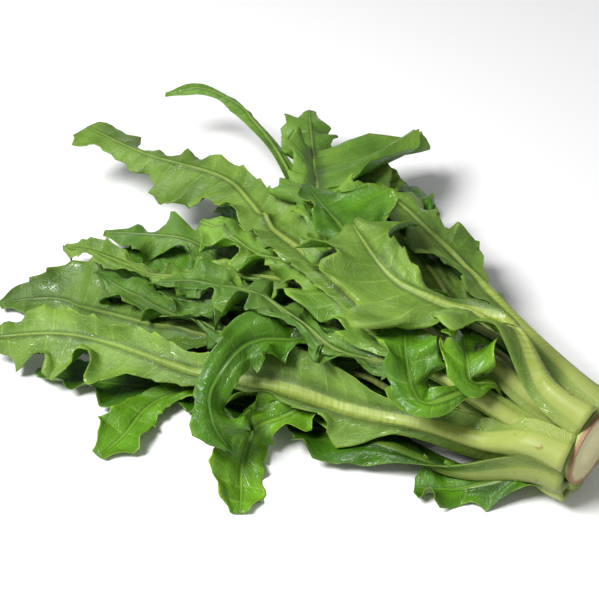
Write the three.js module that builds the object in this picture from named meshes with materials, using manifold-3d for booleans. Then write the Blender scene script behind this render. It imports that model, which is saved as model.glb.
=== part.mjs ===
// A head of bitter lettuce, lying on its side as picked: a short cut stem with
// long, lobed leaves growing from it. Millimetres, +Z up, standing surface at z = 0.
// The head's axis runs along X: the cut end is at +X and the leaf tips are at -X.
// Heights and places below are in the head's own frame; the last lines centre it.
import * as THREE from "three";
import { mergeVertices } from "three/addons/utils/BufferGeometryUtils.js";
import Module from "manifold-3d";

const wasm = await Module();
wasm.setup();

// Driving sizes
const CUT_X = 175; // the cut face, in the head's own frame
const AXIS_Z = 31; // height of the stem's axis over the surface
const STEM_RADIUS = 20;
const STEM_LENGTH = 66;
const STEM_SIDES = 20;
const BLADE = 0.8; // thickness of a blade
const CLEAR = 0.3; // gap kept where one piece is cut by another
const REST_GAP = 0.8; // gap kept between leaves that lie on each other

// The stalks stand in four rings round the stem, each ring further up inside the head.
// The fifth is for a small leaf that stands outside them, the sixth for short ones in between.
// start is how far from the cut they leave it, half and deep are a stalk's own size
const RINGS = [
  { radius: 26, start: 3, half: 12.5, deep: 5 },
  { radius: 19.5, start: 14, half: 8, deep: 3.6 },
  { radius: 13, start: 30, half: 6, deep: 2.6 },
  { radius: 6.5, start: 46, half: 4.5, deep: 2 },
  { radius: 32, start: 2, half: 7, deep: 2 },
  { radius: 13, start: 30, half: 5, deep: 2 },
];
const HEART_RINGS = [2, 3, 5];

// Colours of the pieces
const BLADE_GREEN = 0x5c8a30;
const HEART_GREEN = 0x86ad3f;
const STEM_CREAM = 0xd9dfb4;

// Number helpers
const lerp = (a, b, t) => a + (b - a) * t;
const clamp = (x, low, high) => Math.min(high, Math.max(low, x));
const radians = (angle) => (angle * Math.PI) / 180;
const smooth = (low, high, x) => {
  const t = clamp((x - low) / (high - low), 0, 1);
  return t * t * (3 - 2 * t);
};

// Repeatable draws between -1 and 1, one list for each leaf
function draws(seed) {
  let state = seed * 7919 + 17;
  return () => {
    state = (state * 16807) % 2147483647;
    return (state / 2147483647) * 2 - 1;
  };
}

// The value at u of a list of numbers spread evenly over 0..1
function along(list, u) {
  const x = clamp(u, 0, 1) * (list.length - 1);
  const i = Math.min(Math.floor(x), Math.max(list.length - 2, 0));
  return lerp(list[i], list[Math.min(i + 1, list.length - 1)], smooth(0, 1, x - i));
}

// Leaves, in the order that they lie on each other, from the surface up.
//   ring   which ring of stalks it stands in, 0 the outermost
//   turn   where the leaf leaves the stem, in degrees round it: 0 is +Y, 90 is up
//   rib    points of the midrib past the bundle of stalks, at the lowest height wanted
//   roll   which way the upper face looks, from bundle to tip: 0 is up, 180 is down
//   half, lobes, cut   half width of the blade, lobes on a side and how deep they are cut
//   edge   or else the outline itself: [place along the midrib, half width] on each side
//   fold   how far the two sides bend, in degrees towards the upper face, from bundle to tip
//   under  a leaf that the others cover, made with fewer faces
//   sweep  how far the lobes lean towards the tip, 0.45 unless given
const LEAVES = [
  { name: "leaf_under_middle", under: true, ring: 0, turn: 262, half: 34, lobes: 3, cut: 0.5, roll: [0, 0],
    fold: [-4, 6],
    rib: [[70, -8, 1], [0, -16, 1], [-80, -22, 1], [-150, -24, 1]] },
  { name: "leaf_under_back", under: true, ring: 0, turn: 305, half: 36, lobes: 3, cut: 0.5, roll: [-5, 0],
    fold: [0, 8],
    rib: [[60, 30, 2], [0, 42, 2], [-60, 54, 2], [-132, 66, 2]] },
  { name: "leaf_under_base", under: true, ring: 4, turn: 231, roll: [20, 0], fold: [0, 10],
    edge: [[[0, 7], [0.3, 8], [0.5, 11], [0.6, 8], [0.76, 17], [0.86, 12], [0.94, 13], [1, 6]],
      [[0, 7], [0.3, 10], [0.46, 14], [0.56, 9], [0.7, 16], [0.82, 12], [0.92, 15], [1, 6]]],
    rib: [[139, -33, 3], [124, -44, 2], [108, -54, 1]] },
  { name: "leaf_front_lower", under: true, ring: 0, turn: 212, roll: [30, 10, 0], fold: [6, 12],
    edge: [[[0, 12], [0.16, 10], [0.3, 14], [0.4, 26], [0.48, 14], [0.6, 27], [0.7, 13], [0.8, 24],
        [0.88, 13], [0.95, 15], [1, 4]],
      [[0, 12], [0.14, 13], [0.26, 20], [0.34, 16], [0.46, 26], [0.54, 15], [0.66, 28], [0.76, 14],
        [0.86, 22], [0.94, 14], [1, 4]]],
    rib: [[108, -42, 2], [61, -52, 2], [23, -62, 2], [-27, -77, 2], [-69, -103, 2], [-103, -120, 2]] },
  { name: "leaf_front_forked", ring: 1, turn: 241, roll: [10, 0], fold: [2, 0],
    edge: [[[0, 8], [0.2, 6], [0.42, 20], [0.52, 8], [0.66, 22], [0.76, 9], [0.85, 11], [0.94, 16], [1, 5]],
      [[0, 8], [0.2, 6], [0.36, 18], [0.46, 8], [0.6, 18], [0.72, 9], [0.84, 11], [0.93, 15], [1, 5]]],
    rib: [[47, -39, 4], [2, -60, 3], [-24, -80, 2], [-34, -100, 1], [-31, -122, 1], [-30, -142, 1]] },
  { name: "leaf_back_under", under: true, ring: 1, turn: 331, half: 30, lobes: 3, cut: 0.5, roll: [-20, 0],
    fold: [2, 10],
    rib: [[60, 46, 4], [10, 66, 3], [-50, 86, 2], [-104, 112, 2]] },
  { name: "leaf_front_tongue", ring: 2, turn: 218, roll: [20, 0], fold: [4, 0],
    edge: [[[0, 6], [0.2, 5], [0.4, 16], [0.52, 7], [0.62, 14], [0.72, 10], [0.84, 11], [0.94, 12], [1, 5]],
      [[0, 6], [0.2, 5], [0.44, 14], [0.6, 7], [0.68, 16], [0.76, 10], [0.86, 13], [0.95, 12], [1, 5]]],
    rib: [[87, -22, 10], [49, -41, 8], [35, -65, 5], [27, -83, 3], [34, -102, 2], [43, -113, 1],
        [52, -124, 1]] },
  { name: "leaf_back_lower", under: true, ring: 0, turn: 352, half: 30, lobes: 4, cut: 0.5,
    roll: [-60, -30, -10], fold: [4, 10],
    rib: [[70, 56, 12], [30, 80, 8], [-20, 106, 6], [-60, 138, 4]] },
  { name: "leaf_heart_01", ring: 2, turn: 263, half: 24, lobes: 3, cut: 0.4, roll: [0, 10], fold: [20, 14],
    rib: [[50, -14, 6], [-20, -34, 5], [-90, -56, 4]] },
  { name: "leaf_heart_02", ring: 2, turn: 308, half: 24, lobes: 3, cut: 0.4, roll: [-10, -20],
    fold: [20, 16],
    rib: [[50, 16, 6], [-20, 34, 5], [-100, 40, 4]] },
  { name: "leaf_left_upper", under: true, ring: 1, turn: 196, half: 22, lobes: 5, cut: 0.55,
    roll: [100, 150, 170], fold: [10, -8],
    rib: [[51, -36, 14], [-5, -51, 12], [-59, -64, 10], [-96, -71, 8], [-131, -71, 7], [-153, -86, 5],
        [-159, -97, 4]] },
  { name: "leaf_heart_03", ring: 3, turn: 240, half: 18, lobes: 3, cut: 0.4, roll: [20, 30], fold: [24, 20],
    rib: [[50, -10, 12], [0, -22, 10], [-74, -40, 8]] },
  { name: "leaf_heart_04", ring: 3, turn: 0, half: 18, lobes: 3, cut: 0.4, roll: [-30, -20], fold: [24, 20],
    rib: [[60, 12, 14], [10, 24, 10], [-50, 36, 8]] },
  { name: "leaf_left_dark", ring: 2, turn: 173, half: 17, lobes: 5, cut: 0.6, roll: [110, 150, 165],
    fold: [12, 16],
    rib: [[38, -37, 20], [-1, -55, 18], [-42, -58, 16], [-81, -57, 14], [-119, -56, 10]] },
  { name: "leaf_heart_05", ring: 3, turn: 180, half: 18, lobes: 3, cut: 0.5, roll: [140, 160],
    fold: [24, 10],
    rib: [[60, -14, 16], [10, -30, 14], [-60, -62, 12]] },
  { name: "leaf_heart_06", ring: 2, turn: 353, half: 22, lobes: 4, cut: 0.5, roll: [-150, -165],
    fold: [16, 14],
    rib: [[60, 24, 20], [0, 44, 16], [-60, 62, 12]] },
  { name: "leaf_left_pointed", ring: 3, turn: 117, half: 17, lobes: 5, cut: 0.6, roll: [150, 160, 160],
    fold: [10, 16],
    rib: [[36, 0, 26], [-24, 5, 24], [-69, 3, 22], [-103, 5, 20], [-125, -3, 18], [-154, -17, 14]] },
  { name: "leaf_front_long", ring: 0, turn: 162, roll: [110, 130, 140, 142], fold: [4, 2, 10],
    edge: [[[0, 12.5], [0.14, 12], [0.28, 11], [0.36, 20], [0.46, 18], [0.54, 12], [0.6, 8], [0.7, 13],
        [0.79, 11], [0.88, 17], [0.94, 15], [1, 6]],
      [[0, 12.5], [0.14, 14], [0.26, 12], [0.33, 26], [0.39, 9], [0.56, 8], [0.68, 12], [0.74, 28],
        [0.79, 14], [0.85, 34], [0.89, 18], [0.94, 26], [1, 7]]],
    rib: [[127, -27, 26], [92, -40, 26], [63, -51, 25], [33, -62, 24], [4, -74, 24], [-32, -84, 24],
        [-69, -93, 24], [-99, -106, 23], [-131, -130, 18]] },
  { name: "leaf_front_draped", ring: 2, turn: 205, roll: [60, 20, 0], fold: [8, -6],
    edge: [[[0, 6], [0.2, 5], [0.42, 12], [0.52, 7], [0.62, 18], [0.74, 8], [0.85, 9], [0.93, 26], [1, 4]],
      [[0, 6], [0.2, 5], [0.4, 14], [0.5, 8], [0.6, 16], [0.72, 9], [0.86, 8], [0.94, 11], [1, 3]]],
    rib: [[74, -6, 26], [49, -26, 28], [26, -46, 30], [11, -62, 34], [9, -83, 40], [12, -100, 36],
        [23, -110, 22], [34, -110, 8]] },
  { name: "leaf_back_side", under: true, ring: 1, turn: 16, half: 26, lobes: 4, cut: 0.5,
    roll: [-110, -140, -160], fold: [8, 14],
    rib: [[60, 46, 24], [10, 68, 20], [-40, 92, 16], [-80, 124, 10]] },
  { name: "leaf_left_hooked", ring: 1, turn: 151, roll: [130, 155, 160, 120], fold: [12, 26],
    edge: [[[0, 8], [0.2, 6], [0.38, 14], [0.46, 8], [0.56, 20], [0.64, 11], [0.74, 22], [0.82, 10],
        [0.9, 15], [0.96, 10], [1, 6]],
      [[0, 8], [0.2, 6], [0.34, 14], [0.42, 7], [0.52, 20], [0.6, 9], [0.7, 18], [0.8, 9], [0.88, 12],
        [0.93, 8], [0.975, 17], [1, 9]]],
    rib: [[73, -23, 30], [16, -9, 30], [-30, -5, 28], [-54, -15, 26], [-68, -30, 24], [-85, -43, 22],
        [-110, -43, 20], [-138, -44, 18], [-160, -44, 12]] },
  { name: "leaf_heart_08", ring: 2, turn: 128, half: 17, lobes: 5, cut: 0.6, roll: [140, 150, 165],
    fold: [10, 12],
    rib: [[61, -42, 34], [26, -46, 32], [-12, -43, 30], [-44, -47, 28], [-65, -65, 24]] },
  { name: "leaf_heart_07", ring: 2, turn: 106, half: 19, lobes: 5, cut: 0.55, roll: [160, 155, 170],
    fold: [10, 4],
    rib: [[77, -29, 38], [34, -24, 38], [-24, -4, 36], [-64, 7, 34], [-99, 11, 30]] },
  { name: "leaf_front_upright", under: true, ring: 5, turn: 194, roll: [40, 20, 10], fold: [8, 4],
    edge: [[[0, 6], [0.3, 5], [0.5, 6], [0.66, 14], [0.8, 17], [0.94, 17], [1, 12]],
      [[0, 6], [0.3, 5], [0.5, 7], [0.62, 16], [0.78, 18], [0.92, 15], [1, 9]]],
    rib: [[108, -45, 34], [96, -44, 40], [84, -34, 46], [74, -22, 52]] },
  { name: "leaf_front_pale", under: true, ring: 5, turn: 186, roll: [45, 30, 20], fold: [14, 8],
    edge: [[[0, 6], [0.3, 5], [0.5, 8], [0.66, 15], [0.82, 15], [0.94, 13], [1, 9]],
      [[0, 6], [0.3, 5], [0.48, 10], [0.62, 17], [0.76, 14], [0.92, 15], [1, 8]]],
    rib: [[118, -26, 36], [110, -19, 43], [101, -9, 50]] },
  { name: "leaf_top_ribbon", ring: 2, turn: 38, roll: [-165, -160, -170, -190], fold: [10, 10],
    edge: [[[0, 6], [0.3, 5], [0.6, 5], [0.78, 5], [0.84, 8], [0.9, 4], [0.96, 5], [1, 2]],
      [[0, 6], [0.3, 5], [0.6, 5], [0.76, 5], [0.82, 7], [0.88, 4], [0.95, 5], [1, 2]]],
    rib: [[56, -1, 40], [6, 11, 46], [-83, 68, 52], [-130, 92, 52], [-150, 101, 50], [-188, 107, 44],
        [-209, 95, 36]] },
  { name: "leaf_back_long", ring: 0, turn: 45, roll: [-140, -165, -180], fold: [14, 6],
    edge: [[[0, 12], [0.16, 10], [0.34, 9], [0.42, 18], [0.5, 10], [0.58, 22], [0.66, 12], [0.78, 24],
        [0.88, 14], [0.95, 18], [1, 4]],
      [[0, 12], [0.16, 10], [0.3, 9], [0.4, 16], [0.5, 12], [0.6, 24], [0.7, 14], [0.82, 26], [0.9, 15],
        [0.96, 14], [1, 4]]],
    rib: [[104, 42, 44], [56, 64, 42], [25, 74, 40], [-8, 84, 36], [-52, 96, 30]] },
  { name: "leaf_top_long", ring: 1, turn: 106, roll: [175, 170, 175], fold: [6, 10],
    edge: [[[0, 8], [0.2, 6], [0.45, 13], [0.57, 18], [0.66, 12], [0.77, 15], [0.84, 11], [0.9, 12],
        [0.94, 24], [0.975, 20], [1, 11]],
      [[0, 8], [0.2, 6], [0.45, 13], [0.57, 14], [0.66, 17], [0.77, 30], [0.84, 13], [0.93, 11], [0.98, 18],
        [1, 13]]],
    rib: [[71, -21, 48], [37, -20, 50], [-19, 1, 50], [-73, 28, 48], [-108, 39, 46], [-164, 31, 42],
        [-218, 33, 38]] },
  { name: "leaf_top_forked", ring: 2, turn: 0, sweep: 0.78, roll: [-170, -180, -180], fold: [8, 4],
    edge: [[[0, 6], [0.2, 5], [0.4, 18], [0.47, 14], [0.56, 42], [0.62, 20], [0.655, 22], [0.675, 56],
        [0.71, 68], [0.76, 72], [0.8, 62], [0.82, 36], [0.84, 15], [0.93, 15], [1, 5]],
      [[0, 6], [0.2, 5], [0.4, 16], [0.48, 10], [0.58, 26], [0.68, 16], [0.76, 20], [0.84, 10], [0.92, 18],
        [0.97, 12], [1, 4]]],
    rib: [[77, -12, 46], [46, -13, 48], [23, -7, 50], [-3, 9, 50], [-67, 79, 44], [-126, 144, 34]] },
  { name: "leaf_top_curled", ring: 1, turn: 61, sweep: 0, roll: [-150, -120, -40, -10, 0], fold: [0, 12],
    edge: [[[0, 8], [0.2, 5], [0.52, 6], [0.64, 8], [0.76, 16], [0.85, 9], [0.93, 12], [1, 4]],
      [[0, 8], [0.2, 5], [0.52, 6], [0.64, 10], [0.7, 30], [0.78, 42], [0.85, 36], [0.89, 14], [0.95, 12],
        [1, 4]]],
    rib: [[60, 14, 46], [36, 6, 54], [15, 8, 58], [-3, 18, 58], [-21, 28, 56], [-42, 40, 52]] },
  { name: "leaf_top_middle", ring: 0, turn: 98, roll: [180, 170, 180], fold: [10, 6],
    edge: [[[0, 12], [0.16, 10], [0.36, 9], [0.5, 12], [0.6, 9], [0.72, 14], [0.79, 10], [0.88, 34],
        [0.95, 16], [1, 5]],
      [[0, 12], [0.16, 10], [0.28, 12], [0.38, 34], [0.46, 26], [0.58, 44], [0.66, 28], [0.74, 32],
        [0.8, 20], [0.89, 38], [0.95, 18], [1, 5]]],
    rib: [[128, 2, 60], [108, 4, 60], [92, 0, 60], [76, -4, 58], [59, -6, 56], [37, -1, 54],
        [12, 13, 50]] },
];

// Midrib: a smooth curve from the stem, up its ring and through the leaf's own points
const LOWEST_RIB = 2;
function ribCurve(leaf) {
  const ring = RINGS[leaf.ring];
  const a = radians(leaf.turn);
  const start = CUT_X - ring.start;
  const round = (x, radius, height) =>
    [x, radius * Math.cos(a), Math.max(height + radius * Math.sin(a), LOWEST_RIB)];
  const points = [round(start, ring.radius - 4, AXIS_Z), round(start - 20, ring.radius, AXIS_Z)];
  if (leaf.rib[0][0] < 100) points.push(round(Math.min(start - 40, 106), 1.3 * ring.radius, AXIS_Z + 4));
  points.push(...leaf.rib);
  return new THREE.CatmullRomCurve3(points.map((p) => new THREE.Vector3(...p)), false, "catmullrom", 0.5);
}

// A leaf made ready: its midrib sampled evenly, its length and its own random draws
const RIB_SAMPLES = 64;
function growLeaf(leaf, index) {
  const curve = ribCurve(leaf);
  curve.arcLengthDivisions = 400;
  const rnd = draws(index + 1);
  const a = radians(leaf.turn);
  return {
    ...leaf,
    index,
    points: curve.getSpacedPoints(RIB_SAMPLES),
    length: curve.getLength(),
    rootRoll: Math.atan2(-Math.cos(a), -Math.sin(a)),
    wave: { rate: 3.1 + 0.8 * rnd(), start: [rnd() * 3, rnd() * 3], size: 0.12 + 0.03 * rnd() },
    curl: { rate: 1.9 + 0.5 * rnd(), start: [rnd() * 3, rnd() * 3] },
    edge: leaf.edge ?? [lobedEdge(leaf, 0, rnd), lobedEdge(leaf, 1, rnd)],
    lift: null,
  };
}

// Outline of a blade with lobes that is not drawn point by point
function lobedEdge(leaf, side, rnd) {
  const stalk = RINGS[leaf.ring].half;
  const keys = [[0, stalk], [0.16, 0.6 * stalk + 1]];
  const pitch = 0.7 / (leaf.lobes + 0.4);
  for (let k = 0; k < leaf.lobes; k++) {
    const sinus = 0.25 + pitch * (k + 0.4 * side + 0.12 * rnd());
    const peak = sinus + pitch * (0.55 + 0.1 * rnd());
    const size = leaf.half * (0.35 + 0.65 * smooth(0.1, 0.6, peak)) * (1 + 0.16 * rnd());
    keys.push([sinus, Math.max(size * (1 - leaf.cut), 0.5 * stalk)], [peak, size]);
  }
  keys.push([0.965, 0.42 * leaf.half], [1, 3]);
  return keys;
}

// A smooth line through the outline's points that has its peaks and hollows at them
function edgeAt(keys, u) {
  let i = 0;
  while (i < keys.length - 2 && u > keys[i + 1][0]) i++;
  const slope = (k) => (keys[k + 1][1] - keys[k][1]) / (keys[k + 1][0] - keys[k][0]);
  const lean = (k) => {
    if (k < 1 || k > keys.length - 2 || slope(k - 1) * slope(k) <= 0) return 0;
    return (2 * slope(k - 1) * slope(k)) / (slope(k - 1) + slope(k));
  };
  const span = keys[i + 1][0] - keys[i][0];
  const t = clamp((u - keys[i][0]) / span, 0, 1);
  const a = t * t * (3 - 2 * t);
  return lerp(keys[i][1], keys[i + 1][1], a) + span * t * (1 - t) * (lean(i) * (1 - t) - lean(i + 1) * t);
}

// Place, tangent, side and upper-face direction of the midrib at u
function ribFrame(leaf, u) {
  const x = clamp(u, 0, 1) * RIB_SAMPLES;
  const i = Math.min(Math.floor(x), RIB_SAMPLES - 1);
  const before = leaf.points[Math.max(i - 1, 0)];
  const after = leaf.points[Math.min(i + 2, RIB_SAMPLES)];
  const place = leaf.points[i].clone().lerp(leaf.points[i + 1], x - i);
  const tangent = after.clone().sub(before).normalize();
  place.addScaledVector(tangent, (u - clamp(u, 0, 1)) * leaf.length);
  const level = tangent.clone().cross(new THREE.Vector3(0, 0, 1)).normalize();
  const upright = level.clone().cross(tangent);
  let root = leaf.rootRoll;
  const first = radians(leaf.roll[0]);
  if (root - first > Math.PI) root -= 2 * Math.PI;
  if (first - root > Math.PI) root += 2 * Math.PI;
  const roll = lerp(root, radians(along(leaf.roll, (u - 0.2) / 0.8)), smooth(0.06, 0.4, u));
  const side = level.clone().multiplyScalar(Math.cos(roll)).addScaledVector(upright, -Math.sin(roll));
  const up = upright.multiplyScalar(Math.cos(roll)).addScaledVector(level, Math.sin(roll));
  return { place, tangent, side, up };
}

const halfWidth = (leaf, side, u) => edgeAt(leaf.edge[side], clamp(u, 0, 1));
const ribHalf = (leaf, u) => lerp(0.65 * RINGS[leaf.ring].half, 1, Math.pow(clamp(u, 0, 1), 0.6));
const ribDepth = (leaf, u) => lerp(RINGS[leaf.ring].deep, 0.3, Math.pow(clamp(u, 0, 1), 0.7));
const bladeDepth = (leaf, u) => BLADE + 0.4 * RINGS[leaf.ring].deep * (1 - smooth(0, 0.3, u));

// Blades: the sides curl by up to CURL degrees and wave, wide ones less for their width
const CURL = 26;
const CURLED_WIDTH = 30;
const WAVED_WIDTH = 36;
const SWEEP = 0.45;

// The middle of the blade at u along the midrib and v across it (-1..1), with the
// direction of its upper face there
function bladePoint(leaf, u, v) {
  const side = v < 0 ? 0 : 1;
  const hand = v < 0 ? -1 : 1;
  const width = halfWidth(leaf, side, u);
  const out = Math.abs(v) * width;
  const sweep = (leaf.sweep ?? SWEEP) * clamp((1 - u) / 0.25, 0, 1) * smooth(0, 0.3, u);
  const at = ribFrame(leaf, u + (sweep * out) / leaf.length);
  const turns = 2 * Math.PI * leaf.curl.rate * u + leaf.curl.start[side];
  const curl = CURL * Math.pow(Math.min(1, CURLED_WIDTH / width), 2) * Math.sin(turns) * smooth(0.2, 0.5, u);
  const edge = radians(along(leaf.fold, (u - 0.2) / 0.8) + curl) + 0.5 * (1 - smooth(0, 0.35, u));
  const first = 0.3 * edge;
  const bend = (0.7 * edge * 2) / Math.max(width, 1);
  const angle = first + bend * out;
  const steady = Math.abs(bend) < 1e-6;
  const across = steady ? out * Math.cos(first) : (Math.sin(angle) - Math.sin(first)) / bend;
  const raise = steady ? out * Math.sin(first) : (Math.cos(first) - Math.cos(angle)) / bend;
  const waved = leaf.wave.size * Math.min(width, WAVED_WIDTH);
  const wave = waved * Math.pow(Math.abs(v), 1.6) * smooth(0.15, 0.4, u)
    * Math.sin(2 * Math.PI * leaf.wave.rate * u * 1.7 + leaf.wave.start[side]);
  const point = at.place.clone();
  point.addScaledVector(at.side, hand * across).addScaledVector(at.up, raise + wave);
  const face = at.up.clone().multiplyScalar(Math.cos(angle));
  face.addScaledVector(at.side, -hand * Math.sin(angle));
  if (leaf.lift) point.z += liftAt(leaf, u, v);
  return { point, face };
}

// Settling: each leaf is laid on the heap below it, as high as it must be and bending
// only as sharply as a leaf does. The heap is kept as a map of heights.
const CELL = 3;
const MAP = { x0: -260, y0: -220, nx: 155, ny: 155 };
const LIFT_STEPS = 48;
const LIFT_PASSES = 3;
const RAILS = [-1, -0.5, 0, 0.5, 1];
const heap = new Float64Array(MAP.nx * MAP.ny).fill(-REST_GAP - 0.15); // the surface itself is lain on flat
const BEND_RADIUS = 80;
const DROOP = 1.1; // slope at which a side hangs down from where it is held up

// How far a leaf's underside and upper face stand off its middle at u and v
const ridge = (v) => 1 - smooth(0, 0.4, Math.abs(v));
const ribbed = (leaf, u, v) => bladeDepth(leaf, u) / 2 + ribDepth(leaf, u) * ridge(v);
const depthBelow = (leaf, face, u, v) => (face.z < 0 ? bladeDepth(leaf, u) / 2 : ribbed(leaf, u, v));
const depthAbove = (leaf, face, u, v) => (face.z < 0 ? ribbed(leaf, u, v) : bladeDepth(leaf, u) / 2);

function heapCell(p) {
  const i = clamp(Math.floor((p.x - MAP.x0) / CELL), 1, MAP.nx - 2);
  const j = clamp(Math.floor((p.y - MAP.y0) / CELL), 1, MAP.ny - 2);
  return j * MAP.nx + i;
}

function settle(leaf) {
  const needs = RAILS.map(() => new Array(LIFT_STEPS + 1).fill(-60));
  for (let i = 0; i <= LIFT_STEPS; i++) {
    const u = i / LIFT_STEPS;
    for (let j = 0; j <= 16; j++) {
      const v = (j - 8) / 8;
      const { point, face } = bladePoint(leaf, u, v);
      const cell = heapCell(point);
      const below = Math.max(...[0, -1, 1, -MAP.nx, MAP.nx].map((near) => heap[cell + near]));
      const need = below + REST_GAP + depthBelow(leaf, face, u, v) - point.z;
      RAILS.forEach((rail, r) => {
        if (Math.abs(v - rail) < 0.3) needs[r][i] = Math.max(needs[r][i], need);
      });
    }
  }
  const step = leaf.length / LIFT_STEPS;
  const sag = (i, k) => Math.pow(step * (i - k), 2) / (2 * BEND_RADIUS);
  const bent = needs.map((list) => list.map((_, i) => Math.max(...list.map((n, k) => n - sag(i, k)))));
  let lift = bent.map((list, r) => list.map((own, i) => {
    const width = halfWidth(leaf, r < 2 ? 0 : 1, i / LIFT_STEPS);
    return Math.max(own, ...bent.map((other, q) => other[i] - DROOP * Math.abs(RAILS[r] - RAILS[q]) * width));
  }));
  const evened = (list) => list.map((n, i) =>
    (list[Math.max(i - 1, 0)] + 2 * n + list[Math.min(i + 1, LIFT_STEPS)]) / 4);
  for (let pass = 0; pass < LIFT_PASSES; pass++) lift = lift.map(evened);
  leaf.lift = lift.map((list) => list.map((n, i) => Math.max(n, 0) * smooth(0.12, 0.34, i / LIFT_STEPS)));
}

function liftAt(leaf, u, v) {
  const x = clamp(u, 0, 1) * LIFT_STEPS;
  const i = Math.min(Math.floor(x), LIFT_STEPS - 1);
  const y = (clamp(v, -1, 1) + 1) * 2;
  const j = Math.min(Math.floor(y), RAILS.length - 2);
  const rail = (r) => lerp(leaf.lift[r][i], leaf.lift[r][i + 1], x - i);
  return lerp(rail(j), rail(j + 1), smooth(0, 1, y - j));
}

function addToHeap(leaf) {
  for (let i = 0; i <= 160; i++) {
    for (let j = 0; j <= 40; j++) {
      const u = i / 160;
      const v = (j - 20) / 20;
      const { point, face } = bladePoint(leaf, u, v);
      const cell = heapCell(point);
      heap[cell] = Math.max(heap[cell], point.z + depthAbove(leaf, face, u, v));
    }
  }
}

// Rows of the lattice: one at each peak and hollow of either side
function latticeRows(leaf) {
  const all = [0.05, 0.1, ...leaf.edge.flat().map(([u]) => u)].sort((a, b) => a - b);
  return all.filter((u, i) => i === 0 || u - all[i - 1] > 0.012);
}

// Closed solid of a leaf: upper and lower skins on one lattice, joined round the edge.
// Both skins stand off the middle of the blade, square to it, and are split alike
function leafGeometry(leaf, grow) {
  const across = leaf.ring < 2 && !leaf.under ? 3 : 2;
  const stations = latticeRows(leaf);
  const steps = stations.length - 1;
  const middle = [];
  const depths = [];
  for (let i = 0; i <= steps; i++) {
    const u = stations[i] + (i === 0 ? -grow : i === steps ? grow : 0) / leaf.length;
    for (let j = -across; j <= across; j++) {
      const width = halfWidth(leaf, j < 0 ? 0 : 1, u);
      const rib = Math.min(ribHalf(leaf, u), 0.7 * width);
      const places = across === 3 ? [0, rib, lerp(rib, width, 0.5), width] : [0, rib, width];
      const out = places[Math.abs(j)] + (Math.abs(j) === across ? grow : 0);
      const { x, y, z } = bladePoint(leaf, u, (Math.sign(j) * out) / width).point;
      const half = bladeDepth(leaf, u) / 2 + grow;
      const ridge = j === 0 ? ribDepth(leaf, u) : Math.abs(j) === 1 ? 0.15 * ribDepth(leaf, u) : 0;
      middle.push(x, y, z);
      depths.push([half, -half - ridge]);
    }
  }
  const columns = 2 * across + 1;
  const cells = [];
  for (let i = 0; i < steps; i++)
    for (let j = 0; j < columns - 1; j++) cells.push(i * columns + j);
  const blade = new THREE.BufferGeometry()
    .setAttribute("position", new THREE.Float32BufferAttribute(middle, 3))
    .setIndex(cells.flatMap((a) => [a, a + 1, a + columns + 1, a, a + columns + 1, a + columns]));
  blade.computeVertexNormals();
  const { position, normal } = blade.attributes;
  const skin = (k) => depths.flatMap((depth, i) => [0, 1, 2].map((axis) =>
    position.array[3 * i + axis] + depth[k] * normal.array[3 * i + axis]));

  const offset = depths.length;
  const top = blade.index.array;
  const faces = [...top];
  for (let i = 0; i < top.length; i += 3) faces.push(...[0, 2, 1].map((k) => offset + top[i + k]));
  const quad = (a, b, c, d) => faces.push(a, b, c, a, c, d);
  for (let i = 0; i < steps; i++) {
    const left = i * columns;
    const right = left + columns - 1;
    quad(left, left + columns, offset + left + columns, offset + left);
    quad(right, offset + right, offset + right + columns, right + columns);
  }
  for (let j = 0; j < columns - 1; j++) {
    const last = steps * columns + j;
    quad(j, offset + j, offset + j + 1, j + 1);
    quad(last, last + 1, offset + last + 1, offset + last);
  }
  return new THREE.BufferGeometry()
    .setAttribute("position", new THREE.Float32BufferAttribute([...skin(0), ...skin(1)], 3))
    .setIndex(faces);
}

// Stem: a turned core, widest at the cut, that runs up inside the head. Its profile is
// given as [share of the radius, share of the length]
const STEM_PROFILE = [
  [0, 0], [0.95, 0], [1, 0.02], [0.93, 0.1],
  [0.66, 0.28], [0.4, 0.5], [0.2, 0.75], [0, 1],
];
function stemGeometry(grow) {
  const outline = STEM_PROFILE.map(([r, t]) => new THREE.Vector2(r * STEM_RADIUS + (r > 0 ? grow : 0),
    t * (STEM_LENGTH + 2 * grow) - grow));
  return new THREE.LatheGeometry(outline, STEM_SIDES).rotateZ(Math.PI / 2).translate(CUT_X, 0, AXIS_Z);
}

// Booleans
const SIMPLIFY = 0.06; // detail smaller than this is dropped
const TOUCHING = 1e-4; // volume in common that is still none
const SNAP_PASSES = 3;
function toSolid(geometry) {
  const bare = geometry.clone();
  bare.deleteAttribute("normal");
  bare.deleteAttribute("uv");
  const merged = mergeVertices(bare, 1e-3);
  return new wasm.Manifold(new wasm.Mesh({
    numProp: 3,
    vertProperties: new Float32Array(merged.attributes.position.array),
    triVerts: new Uint32Array(merged.index.array),
  }));
}

function toGeometry(solid) {
  const { numProp, vertProperties, triVerts } = solid.getMesh();
  const position = new Float32Array((vertProperties.length / numProp) * 3);
  for (let i = 0; i < position.length / 3; i++)
    position.set(vertProperties.subarray(i * numProp, i * numProp + 3), i * 3);
  return new THREE.BufferGeometry()
    .setAttribute("position", new THREE.BufferAttribute(position, 3))
    .setIndex(new THREE.BufferAttribute(new Uint32Array(triVerts), 1));
}

// A solid with every corner on a grid of a hundredth of a millimetre
const GRID = 0.01;
const snap = (value) => Math.round(value / GRID) * GRID;
function snapped(solid) {
  const geometry = toGeometry(solid);
  geometry.attributes.position.array.forEach((value, i, list) => (list[i] = snap(value)));
  return toSolid(geometry);
}

const biggest = (solid) => solid.decompose().sort((a, b) => b.volume() - a.volume())[0];

// The head
const leaves = LEAVES.map(growLeaf);
for (const leaf of leaves) {
  settle(leaf);
  addToHeap(leaf);
}

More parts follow.
